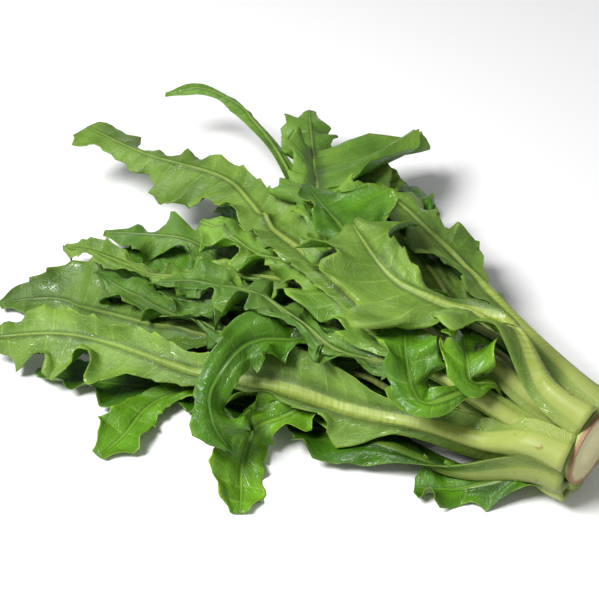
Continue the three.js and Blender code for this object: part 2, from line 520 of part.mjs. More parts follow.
const stem = snapped(toSolid(stemGeometry(0)));
const byShow = [...leaves].sort((a, b) => a.ring - b.ring || b.index - a.index);
const cutters = [toSolid(stemGeometry(CLEAR))];
const solids = new Map();
const ways = [[0, 0, 0], [1, 0, 0], [-1, 0, 0], [0, 1, 0], [0, -1, 0], [0, 0, 1], [0, 0, -1]];
const shifts = ways.map((way) => way.map((part) => part * CLEAR));
for (const leaf of byShow) {
  let solid = toSolid(leafGeometry(leaf, 0));
  for (const cutter of cutters) solid = solid.subtract(cutter);
  solid = solid.trimByPlane([0, 0, 1], 0).simplify(SIMPLIFY);
  for (const other of solids.values()) {
    if (solid.intersect(other).volume() < TOUCHING) continue;
    for (const shift of shifts) solid = solid.subtract(other.translate(shift));
  }
  cutters.push(toSolid(leafGeometry(leaf, CLEAR)));
  for (let pass = 0; pass < SNAP_PASSES; pass++) solid = snapped(biggest(solid));
  solids.set(leaf.name, biggest(solid));
}

// Each piece is placed from its own root, and the origin lies under the middle of the head
const material = (color, roughness) => new THREE.MeshStandardMaterial({ color, roughness, metalness: 0 });
const head = new THREE.Group();
function addPiece(name, solid, root, color, roughness) {
  const [x, y, z] = [root.x, root.y, root.z].map(snap);
  const mesh = new THREE.Mesh(toGeometry(solid).translate(-x, -y, -z), material(color, roughness));
  mesh.name = name;
  mesh.position.set(x, y, z);
  head.add(mesh);
}
addPiece("stem", stem, new THREE.Vector3(CUT_X, 0, AXIS_Z), STEM_CREAM, 0.6);
for (const leaf of leaves) {
  const green = HEART_RINGS.includes(leaf.ring) ? HEART_GREEN : BLADE_GREEN;
  addPiece(leaf.name, solids.get(leaf.name), leaf.points[0], green, 0.5);
}

head.updateMatrixWorld(true);
const box = new THREE.Box3().setFromObject(head, true);
for (const mesh of head.children) {
  mesh.position.x -= snap((box.min.x + box.max.x) / 2);
  mesh.position.y -= snap((box.min.y + box.max.y) / 2);
  mesh.position.z -= snap(box.min.z);
}

export default head;
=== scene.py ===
"""A head of bitter lettuce on its side: a short cut stem and thirty-one long, lobed leaves.

Sizes are millimetres in the head's own frame, +X to the cut end, -X to the leaf
tips, +Y to the far side and the standing surface at z = 0, until a mesh is made.
Midribs, outlines and folds repeat those of the solids, and each leaf is settled on
the heap below it in the same way, so it lies where its solid does.
"""

import logging
import math
from dataclasses import dataclass, field
from enum import Enum
from typing import Any

import bpy
import numpy as np
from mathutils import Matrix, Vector


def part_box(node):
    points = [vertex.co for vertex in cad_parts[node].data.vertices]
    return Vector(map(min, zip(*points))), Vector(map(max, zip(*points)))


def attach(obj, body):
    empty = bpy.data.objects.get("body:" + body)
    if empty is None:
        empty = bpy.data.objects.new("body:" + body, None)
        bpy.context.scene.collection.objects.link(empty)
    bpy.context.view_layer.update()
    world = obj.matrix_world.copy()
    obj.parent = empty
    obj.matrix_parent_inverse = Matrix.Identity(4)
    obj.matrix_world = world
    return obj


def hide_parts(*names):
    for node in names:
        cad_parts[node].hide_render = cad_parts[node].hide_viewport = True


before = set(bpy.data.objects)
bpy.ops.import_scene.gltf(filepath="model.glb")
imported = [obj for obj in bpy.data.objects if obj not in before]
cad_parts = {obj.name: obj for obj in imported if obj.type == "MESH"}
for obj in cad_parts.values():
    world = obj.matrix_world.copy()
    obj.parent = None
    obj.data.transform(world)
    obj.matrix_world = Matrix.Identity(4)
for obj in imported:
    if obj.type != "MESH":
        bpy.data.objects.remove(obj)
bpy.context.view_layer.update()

logging.basicConfig(level=logging.INFO, format="%(message)s")
log = logging.getLogger("lettuce")

MM = 0.001
Array = np.ndarray

# Driving sizes, as in the solids
CUT_X = 175.0
AXIS_Z = 31.0
STEM_RADIUS = 20.0
LOWEST_RIB = 2.0  # no midrib starts lower than this
REST_GAP = 0.8
BLADE_SOLID = 0.8
CURL = 26.0  # most that a side curls, in degrees
CURLED_WIDTH = 30.0  # wider blades curl less
WAVED_WIDTH = 36.0  # and wave no more than one this wide

# Where the head's own frame lies in the row frame, found from the stem's solid
_STEM_LOW, _STEM_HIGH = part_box("stem")
SHIFT = np.array((_STEM_HIGH.x / MM - CUT_X, (_STEM_LOW.y + _STEM_HIGH.y) / 2 / MM, 0.0))

# The surface's own detail
BLADE = 0.5  # thickness of a blade
RIM = 0.3  # and of its margin
VEIN_PITCH = 13.0  # between side veins along the midrib
VEIN_HALF = 0.8
ROW_STEP = 3.2
BLADE_COLUMNS = 12
RIB_COLUMNS = (0.0, 0.3, 0.6, 0.85, 1.05, 1.3)  # places out over the rib, in half widths of it
DRAPE_GAP = 0.45  # kept between this surface and the leaf below
LOWER_SKIN_FLOOR = 0.05  # lowest that a skin reaches on the side that faces down
UPPER_SKIN_FLOOR = 0.5  # and on the side that faces up


def smooth(low: float, high: float, x: Any) -> Any:
    """Ease from 0 at low to 1 at high.

    Args:
        low: Where the step starts.
        high: Where it ends.
        x: A number or an array of them.

    Returns:
        Values between 0 and 1, shaped like x.
    """
    t = np.clip((x - low) / (high - low), 0.0, 1.0)
    return t * t * (3.0 - 2.0 * t)


def along(values: tuple[float, ...], u: Array) -> Array:
    """Read a list of numbers that is spread evenly over 0..1.

    Args:
        values: The numbers.
        u: Places between 0 and 1.

    Returns:
        The eased value at each place.
    """
    x = np.clip(u, 0.0, 1.0) * (len(values) - 1)
    i = np.minimum(np.floor(x), max(len(values) - 2, 0)).astype(int)
    table = np.array(values, float)
    first, last = table[i], table[np.minimum(i + 1, len(values) - 1)]
    return first + (last - first) * smooth(0.0, 1.0, x - i)


class Draws:
    """Repeatable draws between -1 and 1, one list for each seed."""

    def __init__(self, seed: int) -> None:
        """Start the list of a seed."""
        self.state = seed * 7919 + 17

    def next(self) -> float:
        """Return the next draw."""
        self.state = self.state * 16807 % 2147483647
        return self.state / 2147483647 * 2.0 - 1.0


@dataclass(frozen=True)
class Ring:
    """One ring of stalks round the stem.

    Attributes:
        radius: From the stem's axis to the stalks.
        start: From the cut to where they leave the stem.
        half: Half width of a stalk.
        deep: Its thickness under the blade.
    """

    radius: float
    start: float
    half: float
    deep: float


RINGS = (
    Ring(26, 3, 12.5, 5),
    Ring(19.5, 14, 8, 3.6),
    Ring(13, 30, 6, 2.6),
    Ring(6.5, 46, 4.5, 2),
    Ring(32, 2, 7, 2),
    Ring(13, 30, 5, 2),
)
HEART_RINGS = (2, 3, 5)

Keys = tuple[tuple[float, float], ...]


@dataclass(frozen=True)
class LeafPlan:
    """One leaf's own numbers, with the meanings that they have in the solids.

    Attributes:
        name: The node that the leaf stands for.
        ring: Which ring of stalks it stands in.
        turn: Where it leaves the stem, in degrees: 0 is +Y, 90 is up.
        rib: Points of the midrib past the bundle, at the lowest height wanted.
        roll: Which way the upper face looks: 0 is up, 180 is down.
        fold: How far the two sides bend towards the upper face, in degrees.
        half: Half width of the blade, where no outline is given.
        lobes: Lobes on a side.
        cut: How deep they are cut.
        edge: The outline, as (place along the midrib, half width) on each side.
        sweep: How far the lobes lean towards the tip.
    """

    name: str
    ring: int
    turn: float
    rib: tuple[tuple[float, float, float], ...]
    roll: tuple[float, ...]
    fold: tuple[float, ...]
    half: float = 0.0
    lobes: int = 0
    cut: float = 0.0
    edge: tuple[Keys, Keys] | None = None
    sweep: float = 0.45


# In the order that they lie on each other, from the surface up
PLANS = (
    LeafPlan(
        "leaf_under_middle", ring=0, turn=262, half=34, lobes=3, cut=0.5, roll=(0, 0), fold=(-4, 6),
        rib=((70, -8, 1), (0, -16, 1), (-80, -22, 1), (-150, -24, 1)),
    ),
    LeafPlan(
        "leaf_under_back", ring=0, turn=305, half=36, lobes=3, cut=0.5, roll=(-5, 0), fold=(0, 8),
        rib=((60, 30, 2), (0, 42, 2), (-60, 54, 2), (-132, 66, 2)),
    ),
    LeafPlan(
        "leaf_under_base", ring=4, turn=231, roll=(20, 0), fold=(0, 10),
        edge=(
            ((0, 7), (0.3, 8), (0.5, 11), (0.6, 8), (0.76, 17), (0.86, 12), (0.94, 13), (1, 6)),
            ((0, 7), (0.3, 10), (0.46, 14), (0.56, 9), (0.7, 16), (0.82, 12), (0.92, 15), (1, 6)),
        ),
        rib=((139, -33, 3), (124, -44, 2), (108, -54, 1)),
    ),
    LeafPlan(
        "leaf_front_lower", ring=0, turn=212, roll=(30, 10, 0), fold=(6, 12),
        edge=(
            ((0, 12), (0.16, 10), (0.3, 14), (0.4, 26), (0.48, 14), (0.6, 27), (0.7, 13), (0.8, 24),
             (0.88, 13), (0.95, 15), (1, 4)),
            ((0, 12), (0.14, 13), (0.26, 20), (0.34, 16), (0.46, 26), (0.54, 15), (0.66, 28), (0.76, 14),
             (0.86, 22), (0.94, 14), (1, 4)),
        ),
        rib=((108, -42, 2), (61, -52, 2), (23, -62, 2), (-27, -77, 2), (-69, -103, 2), (-103, -120, 2)),
    ),
    LeafPlan(
        "leaf_front_forked", ring=1, turn=241, roll=(10, 0), fold=(2, 0),
        edge=(
            ((0, 8), (0.2, 6), (0.42, 20), (0.52, 8), (0.66, 22), (0.76, 9), (0.85, 11), (0.94, 16),
             (1, 5)),
            ((0, 8), (0.2, 6), (0.36, 18), (0.46, 8), (0.6, 18), (0.72, 9), (0.84, 11), (0.93, 15), (1, 5)),
        ),
        rib=((47, -39, 4), (2, -60, 3), (-24, -80, 2), (-34, -100, 1), (-31, -122, 1), (-30, -142, 1)),
    ),
    LeafPlan(
        "leaf_back_under", ring=1, turn=331, half=30, lobes=3, cut=0.5, roll=(-20, 0), fold=(2, 10),
        rib=((60, 46, 4), (10, 66, 3), (-50, 86, 2), (-104, 112, 2)),
    ),
    LeafPlan(
        "leaf_front_tongue", ring=2, turn=218, roll=(20, 0), fold=(4, 0),
        edge=(
            ((0, 6), (0.2, 5), (0.4, 16), (0.52, 7), (0.62, 14), (0.72, 10), (0.84, 11), (0.94, 12),
             (1, 5)),
            ((0, 6), (0.2, 5), (0.44, 14), (0.6, 7), (0.68, 16), (0.76, 10), (0.86, 13), (0.95, 12),
             (1, 5)),
        ),
        rib=((87, -22, 10), (49, -41, 8), (35, -65, 5), (27, -83, 3), (34, -102, 2), (43, -113, 1),
             (52, -124, 1)),
    ),
    LeafPlan(
        "leaf_back_lower", ring=0, turn=352, half=30, lobes=4, cut=0.5, roll=(-60, -30, -10), fold=(4, 10),
        rib=((70, 56, 12), (30, 80, 8), (-20, 106, 6), (-60, 138, 4)),
    ),
    LeafPlan(
        "leaf_heart_01", ring=2, turn=263, half=24, lobes=3, cut=0.4, roll=(0, 10), fold=(20, 14),
        rib=((50, -14, 6), (-20, -34, 5), (-90, -56, 4)),
    ),
    LeafPlan(
        "leaf_heart_02", ring=2, turn=308, half=24, lobes=3, cut=0.4, roll=(-10, -20), fold=(20, 16),
        rib=((50, 16, 6), (-20, 34, 5), (-100, 40, 4)),
    ),
    LeafPlan(
        "leaf_left_upper", ring=1, turn=196, half=22, lobes=5, cut=0.55, roll=(100, 150, 170),
        fold=(10, -8),
        rib=((51, -36, 14), (-5, -51, 12), (-59, -64, 10), (-96, -71, 8), (-131, -71, 7), (-153, -86, 5),
             (-159, -97, 4)),
    ),
    LeafPlan(
        "leaf_heart_03", ring=3, turn=240, half=18, lobes=3, cut=0.4, roll=(20, 30), fold=(24, 20),
        rib=((50, -10, 12), (0, -22, 10), (-74, -40, 8)),
    ),
    LeafPlan(
        "leaf_heart_04", ring=3, turn=0, half=18, lobes=3, cut=0.4, roll=(-30, -20), fold=(24, 20),
        rib=((60, 12, 14), (10, 24, 10), (-50, 36, 8)),
    ),
    LeafPlan(
        "leaf_left_dark", ring=2, turn=173, half=17, lobes=5, cut=0.6, roll=(110, 150, 165), fold=(12, 16),
        rib=((38, -37, 20), (-1, -55, 18), (-42, -58, 16), (-81, -57, 14), (-119, -56, 10)),
    ),
    LeafPlan(
        "leaf_heart_05", ring=3, turn=180, half=18, lobes=3, cut=0.5, roll=(140, 160), fold=(24, 10),
        rib=((60, -14, 16), (10, -30, 14), (-60, -62, 12)),
    ),
    LeafPlan(
        "leaf_heart_06", ring=2, turn=353, half=22, lobes=4, cut=0.5, roll=(-150, -165), fold=(16, 14),
        rib=((60, 24, 20), (0, 44, 16), (-60, 62, 12)),
    ),
    LeafPlan(
        "leaf_left_pointed", ring=3, turn=117, half=17, lobes=5, cut=0.6, roll=(150, 160, 160),
        fold=(10, 16),
        rib=((36, 0, 26), (-24, 5, 24), (-69, 3, 22), (-103, 5, 20), (-125, -3, 18), (-154, -17, 14)),
    ),
    LeafPlan(
        "leaf_front_long", ring=0, turn=162, roll=(110, 130, 140, 142), fold=(4, 2, 10),
        edge=(
            ((0, 12.5), (0.14, 12), (0.28, 11), (0.36, 20), (0.46, 18), (0.54, 12), (0.6, 8), (0.7, 13),
             (0.79, 11), (0.88, 17), (0.94, 15), (1, 6)),
            ((0, 12.5), (0.14, 14), (0.26, 12), (0.33, 26), (0.39, 9), (0.56, 8), (0.68, 12), (0.74, 28),
             (0.79, 14), (0.85, 34), (0.89, 18), (0.94, 26), (1, 7)),
        ),
        rib=((127, -27, 26), (92, -40, 26), (63, -51, 25), (33, -62, 24), (4, -74, 24), (-32, -84, 24),
             (-69, -93, 24), (-99, -106, 23), (-131, -130, 18)),
    ),
    LeafPlan(
        "leaf_front_draped", ring=2, turn=205, roll=(60, 20, 0), fold=(8, -6),
        edge=(
            ((0, 6), (0.2, 5), (0.42, 12), (0.52, 7), (0.62, 18), (0.74, 8), (0.85, 9), (0.93, 26), (1, 4)),
            ((0, 6), (0.2, 5), (0.4, 14), (0.5, 8), (0.6, 16), (0.72, 9), (0.86, 8), (0.94, 11), (1, 3)),
        ),
        rib=((74, -6, 26), (49, -26, 28), (26, -46, 30), (11, -62, 34), (9, -83, 40), (12, -100, 36),
             (23, -110, 22), (34, -110, 8)),
    ),
    LeafPlan(
        "leaf_back_side", ring=1, turn=16, half=26, lobes=4, cut=0.5, roll=(-110, -140, -160), fold=(8, 14),
        rib=((60, 46, 24), (10, 68, 20), (-40, 92, 16), (-80, 124, 10)),
    ),
    LeafPlan(
        "leaf_left_hooked", ring=1, turn=151, roll=(130, 155, 160, 120), fold=(12, 26),
        edge=(
            ((0, 8), (0.2, 6), (0.38, 14), (0.46, 8), (0.56, 20), (0.64, 11), (0.74, 22), (0.82, 10),
             (0.9, 15), (0.96, 10), (1, 6)),
            ((0, 8), (0.2, 6), (0.34, 14), (0.42, 7), (0.52, 20), (0.6, 9), (0.7, 18), (0.8, 9), (0.88, 12),
             (0.93, 8), (0.975, 17), (1, 9)),
        ),
        rib=((73, -23, 30), (16, -9, 30), (-30, -5, 28), (-54, -15, 26), (-68, -30, 24), (-85, -43, 22),
             (-110, -43, 20), (-138, -44, 18), (-160, -44, 12)),
    ),
    LeafPlan(
        "leaf_heart_08", ring=2, turn=128, half=17, lobes=5, cut=0.6, roll=(140, 150, 165), fold=(10, 12),
        rib=((61, -42, 34), (26, -46, 32), (-12, -43, 30), (-44, -47, 28), (-65, -65, 24)),
    ),
    LeafPlan(
        "leaf_heart_07", ring=2, turn=106, half=19, lobes=5, cut=0.55, roll=(160, 155, 170), fold=(10, 4),
        rib=((77, -29, 38), (34, -24, 38), (-24, -4, 36), (-64, 7, 34), (-99, 11, 30)),
    ),
    LeafPlan(
        "leaf_front_upright", ring=5, turn=194, roll=(40, 20, 10), fold=(8, 4),
        edge=(
            ((0, 6), (0.3, 5), (0.5, 6), (0.66, 14), (0.8, 17), (0.94, 17), (1, 12)),
            ((0, 6), (0.3, 5), (0.5, 7), (0.62, 16), (0.78, 18), (0.92, 15), (1, 9)),
        ),
        rib=((108, -45, 34), (96, -44, 40), (84, -34, 46), (74, -22, 52)),
    ),
    LeafPlan(
        "leaf_front_pale", ring=5, turn=186, roll=(45, 30, 20), fold=(14, 8),
        edge=(
            ((0, 6), (0.3, 5), (0.5, 8), (0.66, 15), (0.82, 15), (0.94, 13), (1, 9)),
            ((0, 6), (0.3, 5), (0.48, 10), (0.62, 17), (0.76, 14), (0.92, 15), (1, 8)),
        ),
        rib=((118, -26, 36), (110, -19, 43), (101, -9, 50)),
    ),
    LeafPlan(
        "leaf_top_ribbon", ring=2, turn=38, roll=(-165, -160, -170, -190), fold=(10, 10),
        edge=(
            ((0, 6), (0.3, 5), (0.6, 5), (0.78, 5), (0.84, 8), (0.9, 4), (0.96, 5), (1, 2)),
            ((0, 6), (0.3, 5), (0.6, 5), (0.76, 5), (0.82, 7), (0.88, 4), (0.95, 5), (1, 2)),
        ),
        rib=((56, -1, 40), (6, 11, 46), (-83, 68, 52), (-130, 92, 52), (-150, 101, 50), (-188, 107, 44),
             (-209, 95, 36)),
    ),
    LeafPlan(
        "leaf_back_long", ring=0, turn=45, roll=(-140, -165, -180), fold=(14, 6),
        edge=(
            ((0, 12), (0.16, 10), (0.34, 9), (0.42, 18), (0.5, 10), (0.58, 22), (0.66, 12), (0.78, 24),
             (0.88, 14), (0.95, 18), (1, 4)),
            ((0, 12), (0.16, 10), (0.3, 9), (0.4, 16), (0.5, 12), (0.6, 24), (0.7, 14), (0.82, 26),
             (0.9, 15), (0.96, 14), (1, 4)),
        ),
        rib=((104, 42, 44), (56, 64, 42), (25, 74, 40), (-8, 84, 36), (-52, 96, 30)),
    ),
    LeafPlan(
        "leaf_top_long", ring=1, turn=106, roll=(175, 170, 175), fold=(6, 10),
        edge=(
            ((0, 8), (0.2, 6), (0.45, 13), (0.57, 18), (0.66, 12), (0.77, 15), (0.84, 11), (0.9, 12),
             (0.94, 24), (0.975, 20), (1, 11)),
            ((0, 8), (0.2, 6), (0.45, 13), (0.57, 14), (0.66, 17), (0.77, 30), (0.84, 13), (0.93, 11),
             (0.98, 18), (1, 13)),
        ),
        rib=((71, -21, 48), (37, -20, 50), (-19, 1, 50), (-73, 28, 48), (-108, 39, 46), (-164, 31, 42),
             (-218, 33, 38)),
    ),
    LeafPlan(
        "leaf_top_forked", ring=2, turn=0, sweep=0.78, roll=(-170, -180, -180), fold=(8, 4),
        edge=(
            ((0, 6), (0.2, 5), (0.4, 18), (0.47, 14), (0.56, 42), (0.62, 20), (0.655, 22), (0.675, 56),
             (0.71, 68), (0.76, 72), (0.8, 62), (0.82, 36), (0.84, 15), (0.93, 15), (1, 5)),
            ((0, 6), (0.2, 5), (0.4, 16), (0.48, 10), (0.58, 26), (0.68, 16), (0.76, 20), (0.84, 10),
             (0.92, 18), (0.97, 12), (1, 4)),
        ),
        rib=((77, -12, 46), (46, -13, 48), (23, -7, 50), (-3, 9, 50), (-67, 79, 44), (-126, 144, 34)),
    ),
    LeafPlan(
        "leaf_top_curled", ring=1, turn=61, sweep=0, roll=(-150, -120, -40, -10, 0), fold=(0, 12),
        edge=(
            ((0, 8), (0.2, 5), (0.52, 6), (0.64, 8), (0.76, 16), (0.85, 9), (0.93, 12), (1, 4)),
            ((0, 8), (0.2, 5), (0.52, 6), (0.64, 10), (0.7, 30), (0.78, 42), (0.85, 36), (0.89, 14),
             (0.95, 12), (1, 4)),
        ),
        rib=((60, 14, 46), (36, 6, 54), (15, 8, 58), (-3, 18, 58), (-21, 28, 56), (-42, 40, 52)),
    ),
    LeafPlan(
        "leaf_top_middle", ring=0, turn=98, roll=(180, 170, 180), fold=(10, 6),
        edge=(
            ((0, 12), (0.16, 10), (0.36, 9), (0.5, 12), (0.6, 9), (0.72, 14), (0.79, 10), (0.88, 34),
             (0.95, 16), (1, 5)),
            ((0, 12), (0.16, 10), (0.28, 12), (0.38, 34), (0.46, 26), (0.58, 44), (0.66, 28), (0.74, 32),
             (0.8, 20), (0.89, 38), (0.95, 18), (1, 5)),
        ),
        rib=((128, 2, 60), (108, 4, 60), (92, 0, 60), (76, -4, 58), (59, -6, 56), (37, -1, 54),
             (12, 13, 50)),
    ),
)


class Age(Enum):
    """What a leaf's age makes of its colours."""

    OUTER = "outer_leaf"
    HEART = "heart_leaf"


@dataclass(frozen=True)
class Margin:
    """How the margin of a blade is waved and cut.

    Attributes:
        ruffle: Height of its waves.
        ruffle_pitch: Length of a wave.
        tooth: Depth of its teeth.
        tooth_pitch: Length of a tooth.
        fade: How fast the waves die out towards the midrib, as a power.
    """

    ruffle: float
    ruffle_pitch: float
    tooth: float
    tooth_pitch: float
    fade: float


MARGINS = {Age.OUTER: Margin(3.2, 27.0, 2.6, 12.0, 2.0), Age.HEART: Margin(6.5, 31.0, 5.0, 17.0, 1.25)}

# Leaves that are lighter (up to 1) or darker (down to -1) than the rest: partly their own tone, partly
# painted shade on the leaves deep in the heap and painted light, the glow of light through them, on the thin
# front leaves
TONES_AND_PAINTED_LIGHT = {
    "leaf_front_tongue": 0.8,
    "leaf_front_forked": 0.7,
    "leaf_front_upright": 0.1,
    "leaf_front_pale": 0.9,
    "leaf_front_draped": -0.3,
    "leaf_front_lower": -0.5,
    "leaf_front_long": 0.15,
    "leaf_under_base": 0.1,
    "leaf_left_dark": -0.8,
    "leaf_left_upper": -0.45,
    "leaf_left_pointed": -0.45,
    "leaf_left_hooked": 0.1,
    "leaf_heart_04": -0.1,
    "leaf_heart_05": -0.6,
    "leaf_heart_06": -0.3,
    "leaf_heart_07": 0.15,
    "leaf_heart_08": -0.55,
    "leaf_top_middle": 0.2,
    "leaf_top_long": 0.0,
    "leaf_top_forked": -0.1,
    "leaf_top_ribbon": -0.2,
    "leaf_back_long": 0.0,
    "leaf_top_curled": 0.1,
}


def linear(code: str) -> tuple[float, float, float, float]:
    """Turn an sRGB hex colour into the linear one that a shader takes.

    Args:
        code: Six hex digits, with or without a leading #.

    Returns:
        Red, green, blue and an alpha of 1.
    """
    parts = [int(code.lstrip("#")[i : i + 2], 16) / 255 for i in (0, 2, 4)]
    red, green, blue = (c / 12.92 if c <= 0.04045 else ((c + 0.055) / 1.055) ** 2.4 for c in parts)
    return red, green, blue, 1.0


def add_node(
    tree: bpy.types.NodeTree, kind: str, settings: dict[str, Any], inputs: dict[Any, Any]
) -> bpy.types.Node:
    """Add one shader node with its settings and links.

    Args:
        tree: The material's node tree.
        kind: The node's type without the leading ShaderNode.
        settings: Its own properties.
        inputs: A value or another node's output for each input, by name or number.

    Returns:
        The new node.
    """
    made = tree.nodes.new("ShaderNode" + kind)
    for key, value in settings.items():
        setattr(made, key, value)
    for key, value in inputs.items():
        if isinstance(value, bpy.types.NodeSocket):
            tree.links.new(value, made.inputs[key])
        else:
            made.inputs[key].default_value = value
    return made


def bare_material(name: str) -> tuple[bpy.types.Material, bpy.types.NodeTree]:
    """Make a material with an empty tree, and return both."""
    material = bpy.data.materials.new(name)
    material.use_nodes = True
    material.node_tree.nodes.clear()
    return material, material.node_tree


@dataclass(frozen=True)
class LeafFlesh:
    """Living lettuce leaf: thin, wet-looking flesh grown smooth over a net of veins.

    The upper face is a saturated green with a soft gloss. The underside is greyer and
    duller, for it has a bloom, and its ribs and veins stand out pale. Where water has
    run over either face the gloss is sharp.

    Attributes:
        upper: The upper face between veins.
        upper_deep: Its darker blotches.
        under: The underside between veins.
        under_deep: Its darker blotches.
        vein: Side veins and their net.
        margin: The blade's thin margin, paler: partly its own yellower colour, partly a painted highlight
            along the edge.
        rib: The midrib.
        stalk: The midrib's thick, pale foot.
        mark: Browned scratches on the stalk.
        mesh_cell: Size of a cell of the vein net in mm.
        gloss: Roughness of the upper face.
    """

    upper: str = "#4b7d14"
    upper_deep: str = "#35600a"
    under: str = "#6a8a34"
    under_deep: str = "#4f7022"
    vein: str = "#8dab4a"
    margin: str = "#87a52f"
    rib: str = "#7d9335"
    stalk: str = "#97a455"
    mark: str = "#7c6a30"
    mesh_cell: float = 4.5
    gloss: float = 0.4

    def material(self, name: str) -> bpy.types.Material:
        """Build the material.

        Args:
            name: Its name.

        Returns:
            The material, which reads the leaf's own attributes and its flat UV map.
        """
        material, tree = bare_material(name)
        # The attributes carry painted shade too: the band beside the midrib, and each leaf's tone with its
        # painted light or shade
        masks = ("under", "rib", "painted_rib_shade", "vein", "rim", "reach", "tone_and_painted_light")
        value = {}
        for key in masks:
            value[key] = add_node(tree, "Attribute", {"attribute_name": key}, {}).outputs["Fac"]
        flat = add_node(tree, "UVMap", {"uv_map": "flat"}, {}).outputs["UV"]

        # Noises over the leaf laid flat: their grain along and across it in mm, and their detail
        grains = {
            "shade": (70.0, 45.0, 2.0),
            "blotch": (24.0, 20.0, 4.0),
            "warp": (7.0, 7.0, 1.0),
            "bands": (1.7, 14.0, 2.0),
            "grain": (40.0, 1.1, 2.0),
            "marks": (9.0, 6.0, 4.0),
            "water": (17.0, 11.0, 3.0),
        }
        for key, (lengthwise, crosswise, detail) in grains.items():
            scale = (1000 / lengthwise, 1000 / crosswise, 1.0)
            spread = add_node(tree, "Mapping", {}, {"Vector": flat, "Scale": scale}).outputs[0]
            noise = {"Vector": spread, "Scale": 1.0, "Detail": detail, "Roughness": 0.6}
            value[key] = add_node(tree, "TexNoise", {}, noise).outputs["Fac"]

        # The net of small veins, coarse and fine, with cells bent by a noise
        bend = {0: (4.0 * MM, 2.4 * MM, 0.0), "Scale": value["warp"]}
        shift = add_node(tree, "VectorMath", {"operation": "SCALE"}, bend).outputs[0]
        bent = add_node(tree, "VectorMath", {"operation": "ADD"}, {0: flat, 1: shift}).outputs[0]
        for key, cell in (("coarse_net", self.mesh_cell), ("fine_net", self.mesh_cell / 3.2)):
            cells = {"Vector": bent, "Scale": 1000 / cell}
            edges = add_node(tree, "TexVoronoi", {"feature": "DISTANCE_TO_EDGE"}, cells)
            value[key] = edges.outputs["Distance"]

        # Each value below eases from one number to another over a span of its source
        spans = {
            "patches": ("blotch", 0.35, 0.65, 0.0, 1.0),
            "coarse": ("coarse_net", 0.0, 0.09, 1.0, 0.0),
            "fine": ("fine_net", 0.0, 0.13, 0.45, 0.0),
            "net_seen": ("under", 0.0, 1.0, 0.05, 0.1),
            "vein_seen": ("under", 0.0, 1.0, 0.4, 0.55),
            "relief_sign": ("under", 0.0, 1.0, -1.0, 1.0),
            "blade_only": ("rib", 0.0, 1.0, 1.0, 0.0),
            # The margin's paler tint is partly its own yellower colour and partly a painted highlight along
            # the edge
            "margin_tint_and_painted_highlight": ("rim", 0.0, 1.0, 0.0, 0.3),
            "rib_face": ("under", 0.0, 1.0, 0.35, 1.0),
            "rib_fade": ("reach", 0.3, 0.85, 1.0, 0.3),
            "foot": ("reach", 0.0, 0.36, 1.0, 0.0),
            "foot_blade": ("reach", 0.0, 0.2, 0.75, 0.0),
            "bands_seen": ("bands", 0.42, 0.58, 0.0, 0.8),
            "grain_seen": ("grain", 0.5, 0.72, 0.0, 0.35),
            "marks_seen": ("marks", 0.64, 0.72, 0.0, 0.7),
            # Painted shade: the band along each side of the midrib is darkened to 0.62 of its colour
            "painted_rib_shade_dark": ("painted_rib_shade", 0.0, 1.0, 1.0, 0.62),
            "shade_light": ("shade", 0.3, 0.7, 0.88, 1.12),
            # Each leaf's tone sets its brightness and hue; for the listed leaves it also holds painted shade
            # or painted light
            "tone_and_painted_light_value": ("tone_and_painted_light", -1.0, 1.0, 0.62, 1.4),
            "tone_and_painted_light_hue": ("tone_and_painted_light", -1.0, 1.0, 0.507, 0.489),
            "dullness": ("under", 0.0, 1.0, self.gloss, self.gloss + 0.1),
            "wetness": ("water", 0.54, 0.62, 1.0, 0.42),
        }
        for key, (source, low, high, start, end) in spans.items():
            span = {"Value": value[source], "From Min": low, "From Max": high, "To Min": start, "To Max": end}
            eased = add_node(tree, "MapRange", {"interpolation_type": "SMOOTHSTEP"}, span)
            value[key] = eased.outputs["Result"]

        # Values put together from two others
        sums = {
            "net": ("MAXIMUM", "coarse", "fine"),
            "net_shown": ("MULTIPLY", "net", "net_seen"),
            "vein_shown": ("MULTIPLY", "vein", "vein_seen"),
            "rib_faced": ("MULTIPLY", "rib", "rib_face"),
            "rib_shown": ("MULTIPLY", "rib_faced", "rib_fade"),
            "ribbed": ("MAXIMUM", "rib_shown", "foot_blade"),
            "marks_shown": ("MULTIPLY", "marks_seen", "foot"),
            # Brightness: each leaf's tone with its painted light or shade, times a random tone over the leaf,
            # then times the painted shade beside the midrib
            "leaf_tone_and_painted_light": ("MULTIPLY", "tone_and_painted_light_value", "shade_light"),
            "light": ("MULTIPLY", "leaf_tone_and_painted_light", "painted_rib_shade_dark"),
            "net_raised": ("MULTIPLY", "net", "blade_only"),
            "net_height": ("MULTIPLY", "net_raised", "relief_sign"),
            "grain_height": ("MULTIPLY", "grain", "rib"),
            "relief": ("ADD", "net_height", "grain_height"),
            "roughness": ("MULTIPLY", "dullness", "wetness"),
        }
        for key, (operation, first, second) in sums.items():
            pair = {0: value[first], 1: value[second]}
            value[key] = add_node(tree, "Math", {"operation": operation}, pair).outputs[0]

